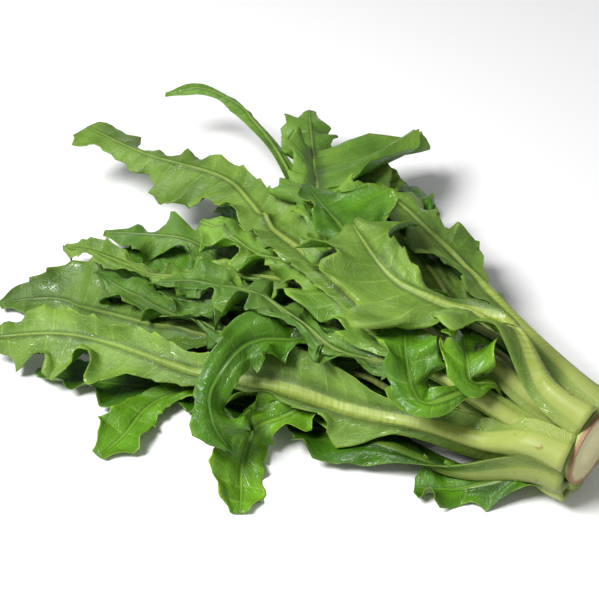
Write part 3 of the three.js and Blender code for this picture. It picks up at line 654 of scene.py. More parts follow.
        # Coats of colour, each laid over the one before as thickly as its value says
        # The last blade coat pales the margin: partly its own colour, partly a painted highlight
        blade_coats = (("net_shown", self.vein), ("vein_shown", self.vein), ("margin_tint_and_painted_highlight", self.margin))
        rib_coats = (
            ("bands_seen", self.stalk),
            ("grain_seen", self.under),
            ("foot", self.stalk),
            ("marks_shown", self.mark),
        )
        coats = {
            "upper": (self.upper, (("patches", self.upper_deep), *blade_coats)),
            "under": (self.under, (("patches", self.under_deep), *blade_coats)),
            "rib": (self.rib, rib_coats),
        }
        colour = {}
        for key, (ground, layers) in coats.items():
            colour[key] = linear(ground)
            for cover, paint in layers:
                laid = {0: value[cover], 6: colour[key], 7: linear(paint)}
                colour[key] = add_node(tree, "Mix", {"data_type": "RGBA"}, laid).outputs[2]
        faces = {0: value["under"], 6: colour["upper"], 7: colour["under"]}
        blade = add_node(tree, "Mix", {"data_type": "RGBA"}, faces).outputs[2]
        parts = {0: value["ribbed"], 6: blade, 7: colour["rib"]}
        whole = add_node(tree, "Mix", {"data_type": "RGBA"}, parts).outputs[2]
        # Hue and brightness carry each leaf's painted light or shade and the painted shade beside the midrib
        toned = {"Hue": value["tone_and_painted_light_hue"], "Value": value["light"], "Color": whole}
        shown = add_node(tree, "HueSaturation", {}, toned).outputs["Color"]

        bump = add_node(tree, "Bump", {}, {"Strength": 0.45, "Distance": 0.0004, "Height": value["relief"]})
        surface = {
            "Base Color": shown,
            "Roughness": value["roughness"],
            "IOR": 1.42,
            "Subsurface Weight": 0.12,
            "Subsurface Radius": (0.6, 1.0, 0.25),
            "Subsurface Scale": 0.0012,
            "Normal": bump.outputs["Normal"],
        }
        shader = add_node(tree, "BsdfPrincipled", {}, surface)
        add_node(tree, "OutputMaterial", {}, {"Surface": shader.outputs["BSDF"]})
        return material


@dataclass(frozen=True)
class CutFlesh:
    """Stem flesh cut across with a knife: pale, moist and dull, browning from its skin inwards.

    Attributes:
        pith: The middle.
        ring: The woody ring round it.
        skin: The stem's side.
        brown: Where the cut has dried.
        mottle: Size of its mottling in mm.
        speck: Size of its specks in mm.
        waver: How far a ring strays in or out, in mm.
    """

    pith: str = "#dfdba6"
    ring: str = "#cfc797"
    skin: str = "#a9b56c"
    brown: str = "#a07a5c"
    mottle: float = 5.0
    speck: float = 1.2
    waver: float = 2.5

    def material(self, name: str) -> bpy.types.Material:
        """Build the material.

        Args:
            name: Its name.

        Returns:
            The material, which reads object coordinates about the stem's axis.
        """
        material, tree = bare_material(name)
        place = add_node(tree, "TexCoord", {}, {}).outputs["Object"]
        centre = ((CUT_X + SHIFT[0]) * MM, SHIFT[1] * MM, AXIS_Z * MM)
        local = add_node(tree, "VectorMath", {"operation": "SUBTRACT"}, {0: place, 1: centre}).outputs[0]
        axes = add_node(tree, "SeparateXYZ", {}, {0: local})
        flat = add_node(tree, "CombineXYZ", {}, {"Y": axes.outputs["Y"], "Z": axes.outputs["Z"]})
        out = add_node(tree, "VectorMath", {"operation": "LENGTH"}, {0: flat.outputs[0]}).outputs["Value"]
        coarse = {"Vector": local, "Scale": 1000 / self.mottle, "Detail": 5.0, "Roughness": 0.65}
        noise = add_node(tree, "TexNoise", {}, coarse).outputs["Fac"]
        speck = add_node(tree, "TexNoise", {}, {"Vector": local, "Scale": 1000 / self.speck, "Detail": 3.0})
        astray = {"Value": noise, "To Min": -self.waver * MM, "To Max": self.waver * MM}
        drift = add_node(tree, "MapRange", {}, astray).outputs["Result"]
        wavy = add_node(tree, "Math", {"operation": "ADD"}, {0: out, 1: drift}).outputs[0]

        # Rings of colour out from the pith, and the skin past the edge of the cut
        rim = STEM_RADIUS * MM
        rings = (
            (wavy, 0.3 * rim, 0.62 * rim, self.ring),
            (wavy, 0.8 * rim, 0.96 * rim, self.brown),
            (axes.outputs["X"], -1.0 * MM, -3.0 * MM, self.skin),
        )
        colour = linear(self.pith)
        for source, low, high, paint in rings:
            span = {"Value": source, "From Min": low, "From Max": high}
            cover = add_node(tree, "MapRange", {"interpolation_type": "SMOOTHSTEP"}, span).outputs["Result"]
            laid = {0: cover, 6: colour, 7: linear(paint)}
            colour = add_node(tree, "Mix", {"data_type": "RGBA"}, laid).outputs[2]
        specked = {"Value": speck.outputs["Fac"], "To Min": 0.8, "To Max": 1.15}
        darker = add_node(tree, "MapRange", {}, specked).outputs["Result"]
        toned = add_node(tree, "HueSaturation", {}, {"Value": darker, "Color": colour})
        bump = add_node(tree, "Bump", {}, {"Strength": 0.7, "Distance": 0.0006, "Height": noise})
        surface = {
            "Base Color": toned.outputs["Color"],
            "Roughness": 0.55,
            "IOR": 1.4,
            "Subsurface Weight": 0.1,
            "Subsurface Radius": (1.0, 0.8, 0.4),
            "Subsurface Scale": 0.002,
            "Normal": bump.outputs["Normal"],
        }
        shader = add_node(tree, "BsdfPrincipled", {}, surface)
        add_node(tree, "OutputMaterial", {}, {"Surface": shader.outputs["BSDF"]})
        return material


@dataclass(frozen=True)
class StudioPaper:
    """Seamless white paper: matt, with nothing on it for the eye to rest on.

    Attributes:
        colour: The sheet's colour.
    """

    colour: str = "#f2f2f1"

    def material(self, name: str) -> bpy.types.Material:
        """Build the material and return it."""
        material, tree = bare_material(name)
        fibre = add_node(tree, "TexNoise", {}, {"Scale": 900.0, "Detail": 2.0}).outputs["Fac"]
        bump = add_node(tree, "Bump", {}, {"Strength": 0.05, "Distance": 0.0001, "Height": fibre})
        surface = {"Base Color": linear(self.colour), "Roughness": 0.9, "Normal": bump.outputs["Normal"]}
        shader = add_node(tree, "BsdfPrincipled", {}, surface)
        add_node(tree, "OutputMaterial", {}, {"Surface": shader.outputs["BSDF"]})
        return material


@dataclass
class Midrib:
    """A smooth curve through a leaf's points, sampled evenly.

    Attributes:
        knots: The points that the curve goes through.
        samples: How many even steps it is cut into.
    """

    knots: Array
    samples: int = 64
    points: Array = field(init=False)
    tangents: Array = field(init=False)
    length: float = field(init=False)

    def __post_init__(self) -> None:
        """Measure the curve and lay its even samples."""
        divisions = np.linspace(0.0, 1.0, 401)
        chords = np.linalg.norm(np.diff(self.curve(divisions), axis=0), axis=1)
        reached = np.concatenate(([0.0], np.cumsum(chords)))
        self.length = float(reached[-1])
        even = np.interp(np.linspace(0.0, 1.0, self.samples + 1) * self.length, reached, divisions)
        self.points = self.curve(even)
        padded = self.extended(self.points)
        ahead = padded[2:] - padded[:-2]
        self.tangents = ahead / np.linalg.norm(ahead, axis=1)[:, None]

    def extended(self, line: Array) -> Array:
        """Return a line of points carried on straight by one point at each end."""
        return np.vstack([2 * line[0] - line[1], line, 2 * line[-1] - line[-2]])

    def curve(self, t: Array) -> Array:
        """Evaluate the spline.

        Args:
            t: Places between 0 and 1, even in the knots.

        Returns:
            A point for each place.
        """
        knots = self.knots
        ends = self.extended(knots)
        x = t * (len(knots) - 1)
        i = np.minimum(np.floor(x).astype(int), len(knots) - 2)
        w = (x - i)[:, None]
        p0, p1, p2, p3 = (ends[i + k] for k in range(4))
        t0, t1 = 0.5 * (p2 - p0), 0.5 * (p3 - p1)
        return p1 + w * (t0 + w * ((-3 * p1 + 3 * p2 - 2 * t0 - t1) + w * (2 * p1 - 2 * p2 + t0 + t1)))


@dataclass
class Heap:
    """Heights of the leaves laid so far, kept as a map over the surface.

    Attributes:
        cell: Size of the map's cells.
        corner: The map's lowest corner.
        count: Cells along each side.
        floor: The height that the surface itself counts as.
    """

    cell: float = 3.0
    corner: tuple[float, float] = (-260.0, -220.0)
    count: int = 155
    floor: float = -REST_GAP - 0.15
    heights: Array = field(init=False)

    def __post_init__(self) -> None:
        """Clear the map."""
        self.heights = np.full(self.count * self.count, self.floor)

    def cells(self, points: Array) -> Array:
        """Return the number of the cell that each point is over."""
        i = np.clip(np.floor((points[:, 0] - self.corner[0]) / self.cell).astype(int), 1, self.count - 2)
        j = np.clip(np.floor((points[:, 1] - self.corner[1]) / self.cell).astype(int), 1, self.count - 2)
        return j * self.count + i

    def below(self, points: Array) -> Array:
        """Return the heap's height under each point, its neighbours counted."""
        cells = self.cells(points)
        around = [self.heights[cells + step] for step in (0, -1, 1, -self.count, self.count)]
        return np.max(around, axis=0)

    def add(self, points: Array, tops: Array) -> None:
        """Raise the map to what a new leaf reaches.

        Args:
            points: Points of the leaf.
            tops: The height that it reaches over each.
        """
        np.maximum.at(self.heights, self.cells(points), tops)


@dataclass
class Leaf:
    """One leaf, grown on its midrib, settled on the heap and given its skin.

    Attributes:
        plan: The leaf's own numbers.
        index: Its place in the order of laying, which seeds its draws.
        rails: Lines across the leaf that are raised on their own when it settles.
        steps: Places along each rail.
        bend_radius: Sharpest bend of a settled leaf.
        droop: Slope at which a side hangs from where it is held up.
        bow: How far side veins and rows lean back near the midrib.
        quilt: Height of the blade between its side veins.
        vein_rise: Height of a side vein under the blade.
    """

    plan: LeafPlan
    index: int
    rails: tuple[float, ...] = (-1.0, -0.5, 0.0, 0.5, 1.0)
    steps: int = 48
    bend_radius: float = 80.0
    droop: float = 1.1
    bow: float = 0.3
    quilt: float = 0.55
    vein_rise: float = 0.35

    def __post_init__(self) -> None:
        """Shape the midrib and make the leaf's draws, in the solids' own order."""
        ring, turn = RINGS[self.plan.ring], math.radians(self.plan.turn)
        start = CUT_X - ring.start

        def about(x: float, radius: float, height: float) -> tuple[float, float, float]:
            """Return a point on the leaf's own side of the stem."""
            return x, radius * math.cos(turn), max(height + radius * math.sin(turn), LOWEST_RIB)

        knots = [about(start, ring.radius - 4, AXIS_Z), about(start - 20, ring.radius, AXIS_Z)]
        if self.plan.rib[0][0] < 100:
            knots.append(about(min(start - 40, 106), 1.3 * ring.radius, AXIS_Z + 4))
        self.ring = ring
        self.age = Age.HEART if self.plan.ring in HEART_RINGS else Age.OUTER
        self.rib = Midrib(np.array([*knots, *self.plan.rib], float))
        self.length = self.rib.length
        self.root_roll = math.atan2(-math.cos(turn), -math.sin(turn))
        draw = Draws(self.index + 1)
        self.wave_rate = 3.1 + 0.8 * draw.next()
        self.wave_start = np.array([draw.next() * 3, draw.next() * 3])
        self.wave_size = 0.12 + 0.03 * draw.next()
        self.curl_rate = 1.9 + 0.5 * draw.next()
        self.curl_start = np.array([draw.next() * 3, draw.next() * 3])
        sides = self.plan.edge or (self.lobed_edge(0, draw), self.lobed_edge(1, draw))
        self.edge = [np.array(keys, float) for keys in sides]
        self.lift = np.zeros((len(self.rails), self.steps + 1))

    def lobed_edge(self, side: int, draw: Draws) -> list[tuple[float, float]]:
        """Outline one side of a blade with evenly spread lobes.

        Args:
            side: 0 or 1.
            draw: The leaf's draws.

        Returns:
            The outline's keys.
        """
        plan, stalk = self.plan, self.ring.half
        keys = [(0.0, stalk), (0.16, 0.6 * stalk + 1)]
        pitch = 0.7 / (plan.lobes + 0.4)
        for k in range(plan.lobes):
            sinus = 0.25 + pitch * (k + 0.4 * side + 0.12 * draw.next())
            peak = sinus + pitch * (0.55 + 0.1 * draw.next())
            size = plan.half * (0.35 + 0.65 * float(smooth(0.1, 0.6, peak))) * (1 + 0.16 * draw.next())
            keys += [(sinus, max(size * (1 - plan.cut), 0.5 * stalk)), (peak, size)]
        return [*keys, (0.965, 0.42 * plan.half), (1.0, 3.0)]

    def half_width(self, side: int, u: Array) -> Array:
        """Read one side's outline, smooth with its peaks and hollows at the keys.

        Args:
            side: 0 or 1.
            u: Places along the midrib.

        Returns:
            The blade's half width at each.
        """
        places, widths = self.edge[side].T
        u = np.clip(u, 0.0, 1.0)
        slopes = np.diff(widths) / np.diff(places)
        product = slopes[:-1] * slopes[1:]
        rising = product > 0
        lean = np.zeros(len(places))
        lean[1:-1] = np.where(rising, 2 * product / np.where(rising, slopes[:-1] + slopes[1:], 1.0), 0.0)
        i = np.searchsorted(places[1:-1], u, side="left")
        span = places[i + 1] - places[i]
        t = np.clip((u - places[i]) / span, 0.0, 1.0)
        eased = widths[i] + (widths[i + 1] - widths[i]) * (t * t * (3 - 2 * t))
        return eased + span * t * (1 - t) * (lean[i] * (1 - t) - lean[i + 1] * t)

    def width_at(self, u: Array, v: Array) -> Array:
        """Return the half width on each point's own side."""
        return np.where(v < 0, self.half_width(0, u), self.half_width(1, u))

    def rib_half(self, u: Array) -> Array:
        """Return half the midrib's width."""
        full = 0.65 * self.ring.half
        return full + (0.5 - full) * np.clip(u, 0, 1) ** 0.5

    def rib_depth(self, u: Array) -> Array:
        """Return how far the midrib stands out."""
        return self.ring.deep + (0.3 - self.ring.deep) * np.clip(u, 0, 1) ** 0.7

    def foot(self, u: Array) -> Array:
        """Return what the stalk's foot adds to the blade's thickness."""
        return 0.4 * self.ring.deep * (1 - smooth(0.0, 0.3, u))

    def depths(self, faces: Array, u: Array, v: Array) -> tuple[Array, Array]:
        """Return how far the solid's lower and upper surfaces stand off its middle."""
        plain = (BLADE_SOLID + self.foot(u)) / 2
        ribbed = plain + self.rib_depth(u) * (1 - smooth(0.0, 0.4, np.abs(v)))
        turned = faces[:, 2] < 0
        return np.where(turned, plain, ribbed), np.where(turned, ribbed, plain)

    def rib_frame(self, u: Array) -> tuple[Array, Array, Array]:
        """Place the midrib and its axes.

        Args:
            u: Places along it.

        Returns:
            The points, the directions to side 1 and those of the upper face.
        """
        inside = np.clip(u, 0.0, 1.0)
        x = inside * self.rib.samples
        i = np.minimum(np.floor(x).astype(int), self.rib.samples - 1)
        w = (x - i)[:, None]
        place = self.rib.points[i] * (1 - w) + self.rib.points[i + 1] * w
        tangent = self.rib.tangents[i] * (1 - w) + self.rib.tangents[i + 1] * w
        tangent /= np.linalg.norm(tangent, axis=1)[:, None]
        place = place + tangent * ((u - inside) * self.length)[:, None]
        level = np.cross(tangent, (0.0, 0.0, 1.0))
        level /= np.linalg.norm(level, axis=1)[:, None]
        upright = np.cross(level, tangent)
        root, first = self.root_roll, math.radians(self.plan.roll[0])
        if root - first > math.pi:
            root -= 2 * math.pi
        if first - root > math.pi:
            root += 2 * math.pi
        wanted = np.radians(along(self.plan.roll, (u - 0.2) / 0.8))
        roll = (root + (wanted - root) * smooth(0.06, 0.4, u))[:, None]
        side = level * np.cos(roll) - upright * np.sin(roll)
        up = upright * np.cos(roll) + level * np.sin(roll)
        return place, side, up

    def blade(self, u: Array, v: Array, bow: float = 0.0) -> tuple[Array, Array]:
        """Lay the middle of the blade.

        Args:
            u: Places along the midrib.
            v: Places across it, -1 and 1 at the margins.
            bow: How much the lines across it bow back from the tip.

        Returns:
            The points and the directions of the upper face.
        """
        side, hand, depth = (v >= 0).astype(int), np.where(v < 0, -1.0, 1.0), np.abs(v)
        width = self.width_at(u, v)
        out = depth * width
        sweep = self.plan.sweep * np.clip((1 - u) / 0.25, 0, 1) * smooth(0.0, 0.3, u)
        sweep = sweep * (1 - bow * (1 - depth))
        place, across_axis, up = self.rib_frame(u + sweep * out / self.length)
        turns = 2 * math.pi * self.curl_rate * u + self.curl_start[side]
        curl = CURL * np.minimum(1, CURLED_WIDTH / width) ** 2 * np.sin(turns) * smooth(0.2, 0.5, u)
        edge = np.radians(along(self.plan.fold, (u - 0.2) / 0.8) + curl) + 0.5 * (1 - smooth(0.0, 0.35, u))
        first = 0.3 * edge
        bend = 1.4 * edge / np.maximum(width, 1.0)
        angle = first + bend * out
        steady = np.abs(bend) < 1e-6
        safe = np.where(steady, 1.0, bend)
        across = np.where(steady, out * np.cos(first), (np.sin(angle) - np.sin(first)) / safe)
        rise = np.where(steady, out * np.sin(first), (np.cos(first) - np.cos(angle)) / safe)
        wave = self.wave_size * np.minimum(width, WAVED_WIDTH) * depth**1.6 * smooth(0.15, 0.4, u)
        rise = rise + wave * np.sin(3.4 * math.pi * self.wave_rate * u + self.wave_start[side])
        points = place + across_axis * (hand * across)[:, None] + up * rise[:, None]
        faces = up * np.cos(angle)[:, None] - across_axis * (hand * np.sin(angle))[:, None]
        points[:, 2] += self.lift_at(u, v)
        return points, faces

    def laid(self, u: Array, v: Array, bow: float = 0.0) -> tuple[Array, Array]:
        """Lay the settled blade's middle, with the directions square to it as it lies.

        Args:
            u: Places along the midrib.
            v: Places across it.
            bow: How much the lines across it bow back from the tip.

        Returns:
            The points and the directions of the upper face.
        """
        du, dv = 0.5 / self.length, 0.03
        points, _ = self.blade(u, v, bow)
        ahead = self.blade(u + du, v, bow)[0] - self.blade(u - du, v, bow)[0]
        beside = self.blade(u, v + dv, bow)[0] - self.blade(u, v - dv, bow)[0]
        square = np.cross(beside, ahead)
        return points, square / np.linalg.norm(square, axis=1)[:, None]

    def lift_at(self, u: Array, v: Array) -> Array:
        """Read how far the leaf was raised at places along and across it."""
        x = np.clip(u, 0.0, 1.0) * self.steps
        i = np.minimum(np.floor(x).astype(int), self.steps - 1)
        y = (np.clip(v, -1.0, 1.0) + 1) * 2
        j = np.minimum(np.floor(y).astype(int), len(self.rails) - 2)
        near = self.lift[j, i] + (self.lift[j, i + 1] - self.lift[j, i]) * (x - i)
        far = self.lift[j + 1, i] + (self.lift[j + 1, i + 1] - self.lift[j + 1, i]) * (x - i)
        return near + (far - near) * smooth(0.0, 1.0, y - j)

    def settle(self, heap: Heap) -> None:
        """Raise the leaf until it clears the heap, bent no more than a leaf can be, and add it.

        Args:
            heap: The leaves laid so far.
        """
        even, lines = np.linspace(0, 1, self.steps + 1), np.arange(-8, 9) / 8
        grid_u, grid_v = np.meshgrid(even, lines, indexing="ij")
        u, v = grid_u.ravel(), grid_v.ravel()
        points, faces = self.blade(u, v)
        under, _ = self.depths(faces, u, v)
        need = (heap.below(points) + REST_GAP + under - points[:, 2]).reshape(grid_u.shape)
        needs = [np.maximum(need[:, np.abs(lines - rail) < 0.3].max(axis=1), -60) for rail in self.rails]
        count = np.arange(self.steps + 1)
        sag = (self.length / self.steps * np.subtract.outer(count, count)) ** 2 / (2 * self.bend_radius)
        lift = np.array([(row[None, :] - sag).max(axis=1) for row in needs])
        coupled = []
        for r, rail in enumerate(self.rails):
            slope = self.droop * self.half_width(0 if r < 2 else 1, even)
            held = [lift[q] - slope * abs(rail - other) for q, other in enumerate(self.rails)]
            coupled.append(np.max(held, axis=0))
        lift = np.array(coupled)
        for _ in range(3):
            padded = np.pad(lift, ((0, 0), (1, 1)), mode="edge")
            lift = (padded[:, :-2] + 2 * lift + padded[:, 2:]) / 4
        self.lift = np.maximum(lift, 0) * smooth(0.12, 0.34, even)
        grid_u, grid_v = np.meshgrid(np.arange(161) / 160, np.arange(-20, 21) / 20, indexing="ij")
        u, v = grid_u.ravel(), grid_v.ravel()
        points, faces = self.blade(u, v)
        _, above = self.depths(faces, u, v)
        heap.add(points, points[:, 2] + above)

    def veins(self) -> list[Array]:
        """Return where the side veins leave the midrib, for each side."""
        draw = Draws(self.index + 101)
        places = []
        for side in (0, 1):
            at, found = 0.1 * self.length + 0.5 * VEIN_PITCH * side, []
            while at < 0.97 * self.length:
                found.append(at / self.length)
                at += VEIN_PITCH * (1 + 0.3 * draw.next())
            places.append(np.array(found))
        return places

    def rows(self, veins: list[Array]) -> Array:
        """Spread the rows of the lattice: three to a side vein, and even ones between.

        Args:
            veins: The side veins' places.

        Returns:
            The rows' places along the midrib.
        """
        crest = np.concatenate(veins)
        beside = VEIN_HALF / self.length
        even = np.linspace(0, 1, math.ceil(self.length / ROW_STEP) + 1)
        clear = np.abs(even[:, None] - crest[None, :]).min(axis=1) > 2.2 * beside
        clear[[0, -1]] = True
        rows = np.unique(np.concatenate([crest, crest - beside, crest + beside, even[clear]]))
        rows = rows[(rows >= 0) & (rows <= 1)]
        keep = np.concatenate(([True], np.diff(rows) > 0.25 / self.length))
        keep |= np.isin(rows, crest)
        return rows[keep]

    def lattice(self, rows: Array, margin: Margin, phase: list[float]) -> tuple[Array, Array, Array, Array]:
        """Spread columns from the midrib out to a toothed margin.

        Args:
            rows: The rows' places along the midrib.
            margin: How the blade is cut.
            phase: Where the teeth start on each side.

        Returns:
            Distances out from the midrib, which side each column is on (-1 or 1), and for
            each row and column the half widths of the rib and of the blade.
        """
        rib_steps = np.array(RIB_COLUMNS)
        blade_steps = (np.arange(1, BLADE_COLUMNS + 1) / BLADE_COLUMNS) ** 0.9
        s = rows * self.length
        outs, ribs, widths = [], [], []
        for side in (0, 1):
            width = self.half_width(side, rows)
            teeth = (s / margin.tooth_pitch + 0.25 * np.sin(s / 9.0 + phase[side])) % 1.0
            bite = margin.tooth * (teeth**1.5 - 0.5) * smooth(0.28, 0.4, rows) * smooth(5, 14, width)
            rib = np.minimum(self.rib_half(rows), 0.65 * width)
            inner = rib[:, None] * rib_steps[None, :]
            start = inner[:, -1:]
            outer = start + (width + bite - start[:, 0])[:, None] * blade_steps[None, :]
            out = np.hstack([inner, outer])
            outs.append(out[:, ::-1] if side == 0 else out[:, 1:])
            ribs.append(rib)
            widths.append(width)
        count = len(rib_steps) + BLADE_COLUMNS
        hand = np.concatenate([-np.ones(count - 1), np.ones(count)])
        side = (hand > 0).astype(int)
        return np.hstack(outs), hand, np.stack(ribs)[side].T, np.stack(widths)[side].T

    def quilting(self, rows: Array, veins: list[Array], side: Array, draw: Draws) -> tuple[Array, Array]:
        """Raise the side veins, and the blade between them.

        Args:
            rows: The rows' places along the midrib.
            veins: The side veins' places.
            side: Which side each column is on, 0 or 1.
            draw: The leaf's draws.

        Returns:
            Heights from 0 to 1 of the veins and of the blade.
        """
        crest = np.zeros((len(rows), len(side)))
        puff = np.zeros(crest.shape)
        for k in (0, 1):
            mine = side == k
            strength = np.array([0.65 + 0.35 * draw.next() for _ in veins[k]])
            near = np.abs(rows[:, None] - veins[k][None, :])
            on = (near < 0.2 / self.length) * strength[None, :]
            crest[:, mine] = on.max(axis=1)[:, None]
            place = np.interp(rows, veins[k], np.arange(len(veins[k])))
            puff[:, mine] = (np.sin(math.pi * (place % 1.0)) ** 2)[:, None]
        return crest, puff

    def drape(self, heap: Heap, points: Array, under: Array, u: Array) -> Array:
        """Find how far the blade lies in the leaves below, eased out over its neighbours.

        Args:
            heap: The finished leaves below.
            points: The blade's middle.
            under: How far its lower surface stands off that.
            u: Places along the midrib.

        Returns:
            How far to lift each point.
        """
        below = heap.below(points.reshape(-1, 3)).reshape(u.shape)
        push = np.maximum(below + DRAPE_GAP + under - points[..., 2], 0.0) * smooth(0.2, 0.38, u)
        for _ in range(4):
            wide = np.pad(push, 1, mode="edge")
            around = wide[:-2, 1:-1] + wide[2:, 1:-1] + wide[1:-1, :-2] + wide[1:-1, 2:]
            push = np.maximum(push * 0.5, (around + 2 * push) / 6)
        return push

    def build(self, heap: Heap, material: bpy.types.Material) -> bpy.types.Object:
        """Make the leaf's closed mesh.

        Args:
            heap: The finished leaves that lie under this one.
            material: The leaf's finish.

        Returns:
            The leaf's object.
        """
        veins = self.veins()
        rows = self.rows(veins)
        margin = MARGINS[self.age]
        draw = Draws(self.index + 201)
        phase = [draw.next() * 3 for _ in range(6)]
        out, hand, rib, width = self.lattice(rows, margin, phase)
        side = (hand > 0).astype(int)
        u = np.repeat(rows[:, None], len(hand), axis=1)
        v = hand[None, :] * out / width
        depth = np.clip(np.abs(v), 0, 1)
        points, faces = self.laid(u.ravel(), v.ravel(), self.bow)
        points, faces = points.reshape(*u.shape, 3), faces.reshape(*u.shape, 3)
        outward = out / np.maximum(rib, 0.1)

        # Quilting, and waves that grow towards the margin
        crest, puff = self.quilting(rows, veins, side, draw)
        off_rib = smooth(1.05, 1.6, outward)
        crest *= off_rib * (1 - 0.75 * depth)
        puff *= off_rib * np.sin(math.pi * depth**0.8)
        s = u * self.length
        turn = 2 * math.pi * s / margin.ruffle_pitch + np.take(phase, side + 2)[None, :]
        ripple = np.sin(turn + 1.2 * np.sin(s / 23.0 + phase[4])) + 0.35 * np.sin(2.3 * turn + phase[5])
        swing = margin.ruffle * smooth(0.25, 0.45, u) * smooth(5, 16, width)
        ruffle = swing * depth**margin.fade * ripple
        shrink = smooth(0.0, 14.0, (1 - u) * self.length)
        points += faces * ((self.quilt * puff + ruffle) * shrink)[..., None]

        # What still lies in a leaf below is lifted off it
        half = (BLADE + self.foot(u)) / 2
        round_rib = np.cos(0.5 * math.pi * np.clip(outward / 1.2, 0, 1)) ** 1.6
        ridge = self.rib_depth(u) * round_rib
        under = np.where(faces[..., 2] < 0, half, half + ridge)
        points[..., 2] += self.drape(heap, points, under, u)

        # Two skins, each kept off the surface
        rim = smooth(0.9, 1.0, depth)
        thick = half * (1 - rim * (1 - RIM / BLADE) * smooth(0.1, 0.3, u))
        groove = 0.22 * ridge + 0.15 * crest
        upper = points + faces * (thick - groove)[..., None]
        lower = points - faces * (thick + ridge + self.vein_rise * crest)[..., None]
        heap.add(points.reshape(-1, 3), np.maximum(upper[..., 2], lower[..., 2]).ravel())
        facing_up = faces[..., 2] >= 0
        floors = np.array((LOWER_SKIN_FLOOR, UPPER_SKIN_FLOOR))
        upper[..., 2] = np.maximum(upper[..., 2], floors[facing_up.astype(int)])
        lower[..., 2] = np.maximum(lower[..., 2], floors[1 - facing_up.astype(int)])
        masks = {
            "rib": (1 - smooth(0.8, 1.15, outward)) * smooth(0.0, 0.06, 1 - u),
            # This mask marks a band along each side of the midrib, which the finish darkens as painted shade
            "painted_rib_shade": smooth(0.7, 1.1, outward) * (1 - smooth(1.3, 2.6, outward)) * smooth(0.1, 0.3, u),
            "vein": crest,
            "rim": rim,
            "reach": u,
            # Each leaf's tone, with the painted shade or painted light that the listed leaves carry; unlisted
            # leaves get a random tone
            "tone_and_painted_light": np.full(u.shape, TONES_AND_PAINTED_LIGHT.get(self.plan.name, 0.25 * draw.next())),
        }
        flat = np.stack([s, hand[None, :] * out], axis=-1) * MM
        return self.mesh_object(upper, lower, masks, flat, material)

    def mesh_object(
        self, upper: Array, lower: Array, masks: dict[str, Array], flat: Array, material: bpy.types.Material
    ) -> bpy.types.Object:
        """Join two skins round their edge and give the mesh its attributes.

        Args:
            upper: The upper skin's points, in rows and columns.
            lower: The lower skin's points.
            masks: Values for the finish, one for each point of a skin.
            flat: The blade laid flat, in metres.
            material: The leaf's finish.

        Returns:
            The object, at the origin with its place in its mesh.
        """
        rows, columns = upper.shape[:2]
        total = rows * columns
        index = np.arange(total).reshape(rows, columns)
        a, b, c, d = index[:-1, :-1], index[:-1, 1:], index[1:, 1:], index[1:, :-1]
        quads = [
            np.stack([a, b, c, d], -1).reshape(-1, 4),
            np.stack([a, d, c, b], -1).reshape(-1, 4) + total,
        ]
        edges = ((index[:, 0], True), (index[:, -1], False), (index[0], False), (index[-1], True))
        for edge, ahead_first in edges:
            here, ahead = edge[:-1], edge[1:]
            pair = [ahead, here + total] if ahead_first else [here + total, ahead]
            quads.append(np.stack([here, pair[0], ahead + total, pair[1]], -1))
        faces = np.vstack(quads)
        points = (np.vstack([upper.reshape(-1, 3), lower.reshape(-1, 3)]) + SHIFT) * MM
        mesh = bpy.data.meshes.new(self.plan.name + "_skin")
        mesh.from_pydata(points.tolist(), [], faces.tolist())
        pairs = {key: (values, values) for key, values in masks.items()}
        pairs["under"] = (np.zeros(total), np.ones(total))
        for key, (above, below) in pairs.items():
            both = np.concatenate([above.ravel(), below.ravel()]).astype(np.float32)
            mesh.attributes.new(key, "FLOAT", "POINT").data.foreach_set("value", both)
        corners = np.zeros(len(mesh.loops), np.int32)
        mesh.loops.foreach_get("vertex_index", corners)
        uv = np.vstack([flat.reshape(-1, 2)] * 2)[corners].astype(np.float32)
        mesh.uv_layers.new(name="flat").data.foreach_set("uv", uv.ravel())
        mesh.materials.append(material)
        mesh.polygons.foreach_set("use_smooth", np.ones(len(mesh.polygons), bool))
        mesh.update()
        made = bpy.data.objects.new(self.plan.name + "_leaf", mesh)
        bpy.context.scene.collection.objects.link(made)
        return made


